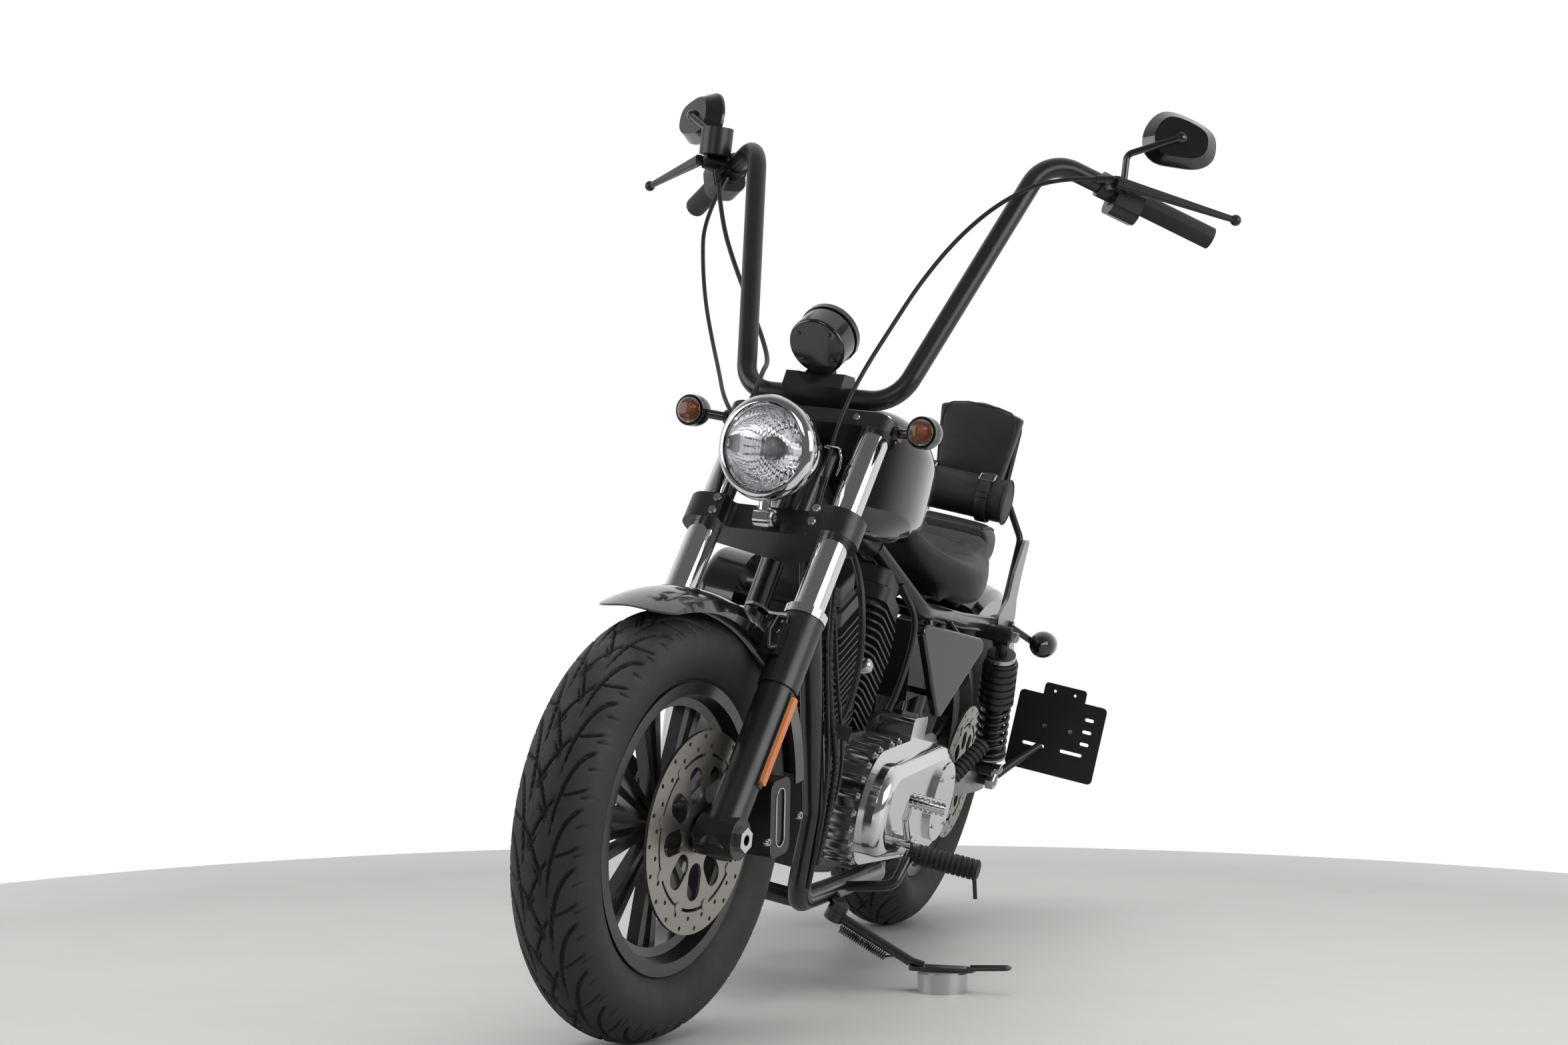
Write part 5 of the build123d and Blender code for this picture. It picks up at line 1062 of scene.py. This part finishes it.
strap_grids, buckle_grids = [], []
for at_y in (-58, 58):
    strap_grids.append(band_round(at_y, 22, bag_radius - 0.5, 2.6, 0.02, 2 * math.pi - 0.02))
    strap_grids.append(band_round(at_y, 20, bag_radius + 2.2, 2.2, 0.25, 2.0, 30))
    frame_at = []
    for angle, off in ((0.75, -14), (1.15, -14), (1.15, 14), (0.75, 14)):
        reach = bag_radius + 4.2
        frame_at.append((bag_axis_x + math.cos(angle) * reach, at_y + off,
                         bag_axis_z + math.sin(angle) * reach))
    corners = np.array(frame_at)
    loop = np.concatenate([np.linspace(corners[k], corners[(k + 1) % 4], 8)[:-1] for k in range(4)])
    buckle_grids.append(carried_round(on_machine(loop), 0.0019, 8, closed=True))
joined_piece("roll_bag_straps", strap_grids, "chassis", bag_leather)
joined_piece("roll_bag_buckles", buckle_grids, "chassis", chrome, closed=True)
end_turn = np.linspace(0, 2 * math.pi, 65)[:-1]
end_rings = []
for at_y in (-98, 98):
    ring = np.stack([bag_axis_x + 41.5 * np.cos(end_turn), np.full(64, at_y),
                     bag_axis_z + 41.5 * np.sin(end_turn)], axis=-1)
    end_rings.append(carried_round(on_machine(ring), 0.0022, 8, closed=True))
joined_piece("roll_bag_welts", end_rings, "chassis", bag_leather, closed=True)
print("bag pieces", len(strap_grids) + len(buckle_grids) + len(end_rings))

# %% [markdown]
# ## Lamps
# A headlight is a deep mirror bowl behind clear glass, with a shield in front of the
# bulb. The bowl is in the CAD shell already. The glass is made again as a thin dome
# with upright flutes on its inner face, which spread the beam, because a solid plug of
# glass would look black. The signals get a thin smoked dome, a bowl and a bulb, which
# is amber in front and red at the rear.


# %% Thin domes of glass
def glass_dome(name, node_radius, base, height, thick, flute, to_place, around=144, rings=30):
    """Outer face: base plus height times one less (radius share squared); inner face: thinner, fluted."""
    share = np.linspace(0.004, 1, rings)
    angle = np.linspace(0, 2 * math.pi, around, endpoint=False)
    y = node_radius * share[:, None] * np.cos(angle)
    z = node_radius * share[:, None] * np.sin(angle)
    front = base + height * (1 - share[:, None] ** 2) + 0 * y
    ribs = flute * np.abs(np.sin(math.pi * y / 6.5)) * np.clip((0.97 - share[:, None]) / 0.08, 0, 1)
    back = front - thick - ribs
    outer = np.stack([front, y, z], axis=-1)
    inner = np.stack([back, y, z], axis=-1)[::-1]
    return to_place(np.concatenate([outer, inner]))


def at_headlight(points):
    """Headlight millimetres: X ahead of the machine, Y and Z from the middle of the lens."""
    return on_front(points + np.array([0, 0, 890.0]))


def at_signal(side):
    """Millimetres from the middle of a front signal's rim."""
    return lambda points: on_front(points + np.array([418.0, side * 205.0, 939.0]))


def at_rear_signal(side):
    """The same for a rear signal, which faces back."""
    return lambda points: on_machine(points * (-1, -1, 1) + np.array([-760.0, side * 196.0, 600.0]))


def lathed(profile, to_place, around=32):
    """A profile of (ahead, radius) in millimetres turned about the lamp's own X axis."""
    ahead, radius = np.asarray(profile, float).T
    angle = np.linspace(0, 2 * math.pi, around, endpoint=False)
    points = np.stack([np.broadcast_to(ahead[:, None], (len(ahead), around)),
                       radius[:, None] * np.cos(angle), radius[:, None] * np.sin(angle)], axis=-1)
    return to_place(points)


headlight_glass = joined_piece(
    "headlight_fluted_glass", [glass_dome("lens", 67.2, 539, 11, 2.2, 1.0, at_headlight)],
    "steering", clear_glass)
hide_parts("headlight_lens")

joined_piece(
    "headlight_bulb_shield",
    [lathed([(496, 8.2), (500, 17), (510, 18.5), (518, 17.5), (523, 13), (525, 7), (525.4, 0.3)],
            at_headlight, 40)],
    "steering", shield_grey)
joined_piece(
    "headlight_rim_rings",
    [lathed([(537, 66.2), (538.8, 67.6), (541.4, 67.6), (542, 66.4), (539, 65.4)], at_headlight, 96),
     lathed([(520.5, 80.2), (521.5, 81.2), (524, 81.2), (525, 80.2), (522, 79.2)], at_headlight, 96)],
    "steering", chrome, closed=True)
bowl_facets = []
for facet in range(28):
    angle = 2 * math.pi * facet / 28
    reach = np.array([18.0, 34, 48, 60])
    ahead = 533 - 84 * (1 - (reach / 67.0) ** 2) ** 0.5 * 0.94 + 1.6
    line = np.stack([ahead, reach * math.cos(angle), reach * math.sin(angle)], axis=-1)
    bowl_facets.append(carried_round(at_headlight(line), np.array([0.0006, 0.0014, 0.0018, 0.0012]), 6))
joined_piece("headlight_reflector_ribs", bowl_facets, "steering", chrome)
print("headlight pieces made")

# %% Signals at four corners: smoked dome, bowl and bulb
signal_glass, signal_bowls, signal_bulbs, rear_glass, rear_bulbs = [], [], [], [], []
dome_profile = [(-3.4, 21.8), (8, 21.8), (11.4, 19.2), (13.8, 12.5), (14.9, 5), (15, 0.3),
                (13.4, 0.3), (13.2, 5), (12.2, 12), (10, 18.2), (7.4, 20.2), (-3.4, 20.2)]
bowl_profile = [(-3.9, 0.5), (-3.9, 7), (-1, 13), (3.5, 17.5), (7, 19.4), (7, 20), (3, 18.6), (-2, 14),
                (-4.2, 8), (-4.2, 0.5)]
bulb_profile = [(-3.6, 7.6), (2, 8.6), (7, 7.4), (9.6, 4.4), (10.4, 0.3)]
for side in (-1, 1):
    for place, glass, bulbs in ((at_signal(side), signal_glass, signal_bulbs),
                                (at_rear_signal(side), rear_glass, rear_bulbs)):
        glass.append(lathed(dome_profile, place, 40))
        bulbs.append(lathed(bulb_profile, place, 24))
        signal_bowls.append((lathed(bowl_profile, place, 32), place))
signal_domes = joined_piece("front_signal_domes", signal_glass, "steering", smoked_lens,
                            closed=True)
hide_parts("front_signal_lenses")
joined_piece("rear_signal_domes", rear_glass, "chassis", smoked_red, closed=True)
joined_piece("front_signal_bulbs", signal_bulbs, "steering", amber_bulb)
joined_piece("rear_signal_bulbs", rear_bulbs, "chassis", red_bulb)
joined_piece("front_signal_bowls", [signal_bowls[0][0], signal_bowls[2][0]], "steering", chrome)
joined_piece("rear_signal_bowls", [signal_bowls[1][0], signal_bowls[3][0]], "chassis", chrome)
print("signals", len(signal_glass) + len(rear_glass))

# %% [markdown]
# ## Mirrors and speedometer
# The housings are the CAD's. Their glass faces the rider: a thin silvered plate with
# the housing's own outline. The outline is a closed curve through the same few points
# that drew the housing. The speedometer gets a plain pale dial with plain tick marks,
# a red pointer and its glass, all seen only from the saddle.

# %% Mirror glass
MIRROR_OUTLINE = np.array([(-56, -8), (-52, 18), (-34, 40), (-6, 43), (27, 36), (55, 21), (62, 2), (60, -20),
                           (48, -33), (0, -43), (-28, -43), (-50, -28)], float)


def closed_curve(points, each=8):
    """Catmull-Rom: between two points the curve leans on the ones before and after them."""
    before, start, end, after = (np.roll(points, shift, axis=0) for shift in (1, 0, -1, -2))
    t = (np.arange(each) / each)[None, :, None]
    curve = 0.5 * (2 * start[:, None] + (end - before)[:, None] * t
                   + (2 * before - 5 * start + 4 * end - after)[:, None] * t ** 2
                   + (3 * start - before - 3 * end + after)[:, None] * t ** 3)
    return curve.reshape(-1, 2)


glass_outline = closed_curve(MIRROR_OUTLINE)
mirror_plates = []
for side in (-1, 1):
    outward = np.array([-0.5, 0.87 * side, -0.12])
    outward /= np.linalg.norm(outward)
    ahead = np.array([0.87, 0.5 * side, 0.1])
    ahead /= np.linalg.norm(ahead)
    up = np.cross(ahead, outward)
    up *= np.sign(up[2])
    rings = []
    for behind, share in ((28.6, 0.93), (29.6, 0.93), (30.2, 0.91)):
        flat = np.array([106.0, 446.0 * side, 1452.0]) - ahead * behind
        rings.append(flat + glass_outline[:, :1] * share * outward + glass_outline[:, 1:] * share * up)
    mirror_plates.append(on_front(np.array(rings)))
joined_piece("mirror_glass", mirror_plates, "steering", silvered_glass)
print("mirror outline points", len(glass_outline))

# %% Speedometer dial
speedo_way = np.array([-math.cos(math.radians(32)), 0, math.sin(math.radians(32))])
speedo_centre = np.array([408.0, 0, 1056.0])


def at_speedo(points):
    """Millimetres on the speedometer: X towards the rider, Y left, Z up its face."""
    face_up = np.cross(speedo_way, (0, -1.0, 0))
    face_up *= np.sign(face_up[2])
    points = np.asarray(points, float)
    return on_front(speedo_centre + points[..., :1] * speedo_way + points[..., 1:2] * (0, 1, 0)
                    + points[..., 2:] * face_up)


joined_piece("speedometer_dial", [lathed([(50, 43.4), (50.8, 43.4), (51, 42.6), (51, 0.4)],
                                         at_speedo, 64)],
             "steering", dial_face)
ticks = []
for tick in range(33):
    angle = math.radians(225 - 270 * tick / 32)
    inner = 33.0 if tick % 4 == 0 else 37.0
    line = np.array([[51.1, r * math.cos(angle), r * math.sin(angle)] for r in (inner, 40.5)])
    ticks.append(carried_round(at_speedo(line), 0.0009 if tick % 4 == 0 else 0.0005, 4))
joined_piece("speedometer_ticks", ticks, "steering", satin_black)
needle_line = np.array([(52.4, 8, -8), (52.4, -26, 26)], float)
joined_piece("speedometer_needle", [carried_round(at_speedo(needle_line), np.array([0.0012, 0.0005]), 6),
                                    lathed([(51.2, 5), (53, 5), (53.6, 4), (53.6, 0.3)], at_speedo, 24)],
             "steering", red_bulb)
joined_piece("speedometer_glass", [lathed([(53.8, 43.6), (55.2, 43.2), (56.2, 30), (56.6, 0.4),
                                           (55.6, 0.4), (55.2, 30), (54.2, 42.6)], at_speedo, 48)],
             "steering", clear_glass, closed=True)
print("dial ticks", len(ticks))

# %% [markdown]
# ## Bolts and screws
# What holds the machine together also makes it look real: bright socket screws in black
# clamps, nuts on the axles, small screws round the covers. A screw head is one profile
# on the lathe, with its socket as a second, narrower step down the middle. All screws
# of one finish on one body are one piece.


# %% A screw head, and where the screws are
def screw_head(centre, way, radius, height, around=16):
    """Rounded cheese head with a socket: up the side, over the rim, down into the socket."""
    r, h = radius / 1000, height / 1000
    profile = [(-0.5 * h, r), (0.75 * h, r), (h, 0.86 * r), (h, 0.52 * r), (0.45 * h, 0.48 * r),
               (0.4 * h, 0.01 * r)]
    return turned_form(profile, centre, way, around)


def nut_head(centre, way, radius, height):
    """Six flats, a bevel and a shorter round end."""
    r, h = radius / 1000, height / 1000
    return turned_form([(-0.3 * h, r), (0.8 * h, r), (h, 0.9 * r), (h, 0.55 * r), (1.25 * h, 0.5 * r),
                        (1.3 * h, 0.02 * r)], centre, way, 6)


def placed(place, spot, way):
    """A spot and a direction in one of the machine's own frames, carried to where it is parked."""
    start = place(np.array(spot, float))
    return start, place(np.array(spot, float) + np.array(way, float)) - start


def heads(place, spots, way, radius, height, form=screw_head):
    """The same head at several spots that face one way."""
    return [form(*placed(place, spot, way), radius, height) for spot in spots]


front_screws, speedo_screws = [], []
for side in (-1, 1):
    front_screws += heads(on_fork, [(38, side * 87, 516), (38, side * 87, 539)], (1, 0, 0), 7, 6)
    front_screws += heads(on_fork, [(34, side * 91, 712)], (1, 0, 0), 6, 5)
    front_screws += heads(on_fork, [(33, side * 96, 300), (33, side * 96, 326)], (1, 0, 0), 5, 4)
    front_screws.append(turned_form([(-0.002, 0.0225), (0.002, 0.0225), (0.0045, 0.019), (0.005, 0.009),
                                     (0.0035, 0.0085), (0.0035, 0.0003)],
                                    *placed(on_fork, (0, side * 113, 731), (0, 0, 1)), 40))
front_screws += heads(on_fork, [(-150, 138, 118), (-88, 138, 40)], (0, 1, 0), 6, 5)
front_screws += [turned_form([(-0.003, 0.013), (0.004, 0.013), (0.006, 0.010), (0.006, 0.006),
                              (0.003, 0.0055), (0.003, 0.0002)],
                             *placed(on_front, (515, 13, 784), (0, 1, 0)), 24)]
for angle in (40, 140, 220, 320):
    spot = np.array([-0.3, 35 * math.cos(math.radians(angle)), 35 * math.sin(math.radians(angle))])
    speedo_screws.append(screw_head(*placed(at_speedo, spot, (-1, 0, 0)), 3.4, 1.8))
joined_piece("front_bright_screws", front_screws, "steering", bright_steel)
joined_piece("speedometer_screws", speedo_screws, "steering", black_metal)
print("front screws", len(front_screws) + len(speedo_screws))

# %% Screws on the engine, shocks, seat and plate
body_screws, body_dark = [], []
cover_spots = [(105 + 96 * math.cos(math.radians(angle)), 142.0, 335 + 96 * math.sin(math.radians(angle)))
               for angle in range(-70, 100, 17)]
body_screws += heads(on_machine, cover_spots, (0, 1, 0), 5.2, 5)
body_screws += heads(on_machine, [(105 + share * -290, 142, 335 + 97 + 14 * share)
                                  for share in (0.2, 0.36, 0.8)], (0, 1, 0), 5.2, 5)
body_screws += heads(on_machine, [(-181 + 58 * math.cos(a), 197.5, 335 + 58 * math.sin(a))
                                  for a in np.radians([45, 135, 225, 315])], (0, 1, 0), 4, 3)
for side in (-1, 1):
    body_screws += heads(on_machine, [(-590, side * 170, 612), (-705, side * 170, 352)], (0, side, 0), 11,
                         9, nut_head)
    body_screws += heads(on_machine, [(-696, side * 129, 640), (-640, side * 129, 624)], (0, side, 0), 6, 4)
    body_screws += heads(on_machine, [(-747.5, side * 152.5, 323)], (0, side, 0), 19, 12, nut_head)
    body_screws += heads(on_machine, [(-376, side * 124, 330)], (0, side, 0), 14, 5, nut_head)
    for lean in (-1, 1):
        slope = math.radians(22.5) * lean
        for across in (-50, 50):
            for along in (-44, 44):
                height = 335 + (361 * math.cos(slope)) - along * math.sin(slope)
                spot = (105 + 361 * math.sin(slope) + along * math.cos(slope), side * abs(across) * 1.28,
                        height)
                body_dark.append(screw_head(*placed(on_machine, spot, (math.sin(slope), 0, math.cos(slope))),
                                            5, 5))
body_screws += heads(on_machine, [(-852.8, 240 - 26, 440), (-852.8, 240 + 26, 440)], (1, 0, 0), 4.5, 3.5)
joined_piece("body_bright_screws", body_screws, "chassis", bright_steel)
joined_piece("rocker_cover_screws", body_dark, "chassis", black_metal)
print("body screws", len(body_screws) + len(body_dark))

# %% [markdown]
# ## Small fittings
# A few bright or springy things are too small for the CAD but catch the eye: the loop
# that guides the clutch cable past the headlight, two rings on each shock, the clevis
# of each of the rider's pegs and two dome nuts between the cylinders.


# %% A coil, the cable guide, shock rings, peg clevises and dome nuts
def helix(start, way, radius, turns, length, per_turn=20):
    """A coil: round the way at a fixed radius while it moves along it at a steady rate."""
    way, across, up = square_to(way)
    t = np.linspace(0, 1, int(turns * per_turn) + 1)
    angle = 2 * math.pi * turns * t
    return (np.asarray(start) + (t * length)[:, None] * way + radius * np.cos(angle)[:, None] * across
            + radius * np.sin(angle)[:, None] * up)


guide_turn = np.linspace(-2.5, 2.5, 40)
guide = np.stack([446 + 12 * np.cos(guide_turn), 68 + 13 * np.sin(guide_turn),
                  902 + 2 * np.cos(guide_turn)], axis=-1)
guide_tail = np.array([(436, 76, 900), (430, 77, 888), (426, 74, 872), (424, 68, 860)], float)
rings = [carried_round(on_front(guide), 0.0015, 8), carried_round(on_front(guide_tail), 0.0015, 8)]
joined_piece("cable_guide_loop", rings, "steering", chrome)

shock_rings = []
top, foot = np.array([-590.0, 0, 612]), np.array([-705.0, 0, 352])
shock_run = (top - foot) / np.linalg.norm(top - foot)
for side in (-1, 1):
    for along, wide, tall in ((233, 28.2, 10), (27, 32.6, 4)):
        spot = foot + shock_run * along + (0, side * 152, 0)
        start, way = placed(on_machine, spot, shock_run)
        shock_rings.append(turned_form([(0, (wide - 2) / 1000), (0.001, wide / 1000),
                                        (tall / 1000 - 0.001, wide / 1000), (tall / 1000, (wide - 2) / 1000),
                                        (tall / 2000, (wide - 3) / 1000)], start, way, 40))
joined_piece("shock_bright_rings", shock_rings, "chassis", bright_steel, closed=True)

clevis_parts = []
for side in (-1, 1):
    for z_off in (-11, 11):
        line = np.array([(0, side * 188, 262 + z_off), (0, side * 206, 262 + z_off),
                         (0, side * 220, 262 + z_off * 0.9)], float)
        clevis_parts.append(carried_round(on_machine(line), np.array([0.006, 0.0068, 0.006]), 12))
    clevis_parts += heads(on_machine, [(0, side * 206, 262 + 17)], (0, 0, 1), 7, 5)
    clevis_parts.append(carried_round(
        on_machine(np.array([(0, side * 206, 240), (0, side * 206, 280)], float)), 0.004, 10))
joined_piece("rider_peg_clevises", clevis_parts, "chassis", bright_steel)

nut_spots = [((104, 84, 560), (0.1, 1, 0.35), 13, 9), ((104, 60, 590), (0, 1, 0.6), 16, 10)]
engine_bits = [turned_form([(-0.02, r / 1000), (h / 2000, r / 1000), (h / 1000, 0.8 * r / 1000),
                            (1.3 * h / 1000, 0.4 * r / 1000), (1.4 * h / 1000, 0.0002)],
                           *placed(on_machine, spot, way), 28) for spot, way, r, h in nut_spots]
joined_piece("engine_dome_nuts", engine_bits, "chassis", bright_steel)
print("fittings made")

# %% [markdown]
# The front fender hangs from the fork by a curved strap on each side, with a small
# window frame beside it. A corrugated sleeve with the wiring and two thin looms run down
# at the engine's front left, with one hose ahead of the front cylinder and one behind the
# rear one. They are fixed runs drawn through set points, not cords that hang, and their
# lengths are not stated. The side stand's return spring lies under its leg, where it
# clears the frame when the stand folds.


# %% Straps and window frames of the front fender
def carried_flat(path, facing, width, thick):
    """A flat bar: at each point a small rectangle, wide across its run and facing one way."""
    path = np.asarray(path, float)
    run = np.gradient(path, axis=0)
    run /= np.linalg.norm(run, axis=1)[:, None]
    across = np.cross(run, facing)
    across /= np.linalg.norm(across, axis=1)[:, None]
    up = np.cross(across, run)
    corner = np.array([(-0.5, -0.5), (0.5, -0.5), (0.5, 0.5), (-0.5, 0.5)])
    return (path[:, None] + across[:, None] * corner[:, 0, None] * width
            + up[:, None] * corner[:, 1, None] * thick)


def smooth_line(points, each=8):
    """An open curve through all its points, leaning on the neighbours of each stretch."""
    points = np.asarray(points, float)
    padded = np.concatenate([points[:1] * 2 - points[1:2], points, points[-1:] * 2 - points[-2:-1]])
    before, start, end, after = padded[:-3], padded[1:-2], padded[2:-1], padded[3:]
    t = (np.arange(each) / each)[None, :, None]
    curve = 0.5 * (2 * start[:, None] + (end - before)[:, None] * t
                   + (2 * before - 5 * start + 4 * end - after)[:, None] * t ** 2
                   + (3 * start - before - 3 * end + after)[:, None] * t ** 3)
    return np.concatenate([curve.reshape(-1, 3), points[-1:]])


fender_straps, window_frames = [], []
for side in (-1, 1):
    strap = smooth_line([(20, side * 101, 352), (36, side * 98, 352), (48, side * 90, 345),
                         (58, side * 82, 341), (74, side * 76, 341), (94, side * 69, 336)])
    fender_straps.append(carried_flat(on_fork(strap), on_fork((0, 0, 1)) - on_fork((0, 0, 0)), 0.016, 0.004))
    window = np.array([(33, side * 104, 352), (33, side * 104, 300), (44, side * 98, 292),
                       (50, side * 92, 318), (46, side * 94, 346)], float)
    loop = np.concatenate([np.linspace(window[k], window[(k + 1) % 5], 7)[:-1] for k in range(5)])
    window_frames.append(carried_round(on_fork(loop), 0.0038, 10, closed=True))
joined_piece("front_fender_straps", fender_straps, "steering", gloss_paint)
joined_piece("front_fender_window_frames", window_frames, "steering", satin_black,
             closed=True)
slot_along = np.array([0.657, 0.0, 0.754])
slot_square = np.array([0.754, 0.0, -0.657])
half_turn = np.linspace(0, math.pi, 13)
slot_end = 12.5 * (np.outer(np.cos(half_turn), slot_square) + np.outer(np.sin(half_turn), slot_along))
slot_loop = np.concatenate([slot_end + slot_along * 32, -slot_end - slot_along * 32]) + (-101, 138.4, 88)
joined_piece("caliper_slot_ring", [carried_round(on_fork(slot_loop), 0.0012, 8, closed=True)],
             "steering", bright_steel, closed=True)
print("straps", len(fender_straps))

# %% Wiring sleeve, its clip, two looms and two hoses beside the frame
share = np.linspace(0, 1, 161)
sleeve_line = smooth_line([(330, 66, 690), (330, 78, 600), (318, 100, 500), (306, 122, 420), (300, 128, 340),
                           (296, 126, 250)], 32)
ribbed = 0.0052 + 0.0008 * np.sign(np.sin(np.linspace(0, 2 * math.pi * 42, len(sleeve_line))))
joined_piece("wiring_sleeve", [carried_round(on_machine(sleeve_line), ribbed, 12)], "chassis", rubber)
loom_lines = [
    smooth_line([(338, 60, 700), (340, 74, 610), (330, 92, 520), (322, 112, 430), (316, 124, 330),
                 (300, 122, 210)]),
    smooth_line([(322, 54, 720), (318, 74, 640), (306, 98, 540), (292, 122, 450), (284, 130, 380),
                 (280, 122, 300)]),
    smooth_line([(262, 60, 752), (280, 92, 700), (284, 110, 640), (272, 116, 580), (258, 112, 520),
                 (250, 100, 470)]),
    smooth_line([(-110, 60, 690), (-120, 92, 640), (-118, 98, 580), (-104, 96, 520), (-96, 88, 470)]),
]
joined_piece("wiring_and_hoses", [carried_round(on_machine(line), size, 12) for line, size in
                                  zip(loom_lines, (0.0036, 0.0030, 0.0055, 0.0055))],
             "chassis", cable_rubber)
clip_line = on_machine(np.array([(308, 86, 470), (296, 134, 466)], float))
joined_piece("wiring_clips", [carried_flat(clip_line, machine_axes[2], 0.026, 0.022)],
             "chassis", satin_black)
print("looms", len(loom_lines))

# %% Return spring of the side stand
stand_top = np.array([140.0, 165.0, 124.0])
floor_shift = np.array(joints["side_stand_fold"]["pos_m"]) - stand_top / 1000


def on_floor(points):
    """Floor millimetres, as the stand was drawn, to where it stands."""
    return np.asarray(points, float) / 1000 + floor_shift


leg_run = np.array([116.0, 287.0, 48.3]) - stand_top
leg_run /= np.linalg.norm(leg_run)
under_leg = np.array([2, -4, -16])
SPRING_TURNS = 22
spring_start = on_floor(stand_top + leg_run * 14 + under_leg)
spring_coil = helix(spring_start, leg_run, 0.0062, SPRING_TURNS, 0.088, 14)
spring_hook = on_floor(np.array([stand_top + leg_run * 101 + under_leg,
                                 stand_top + leg_run * 112 + (0, 0, -9), stand_top + leg_run * 116]))
joined_piece("side_stand_spring",
             [carried_round(spring_coil, 0.0013, 6), carried_round(spring_hook, 0.002, 8)],
             "side_stand", black_metal)
print("spring turns", SPRING_TURNS)
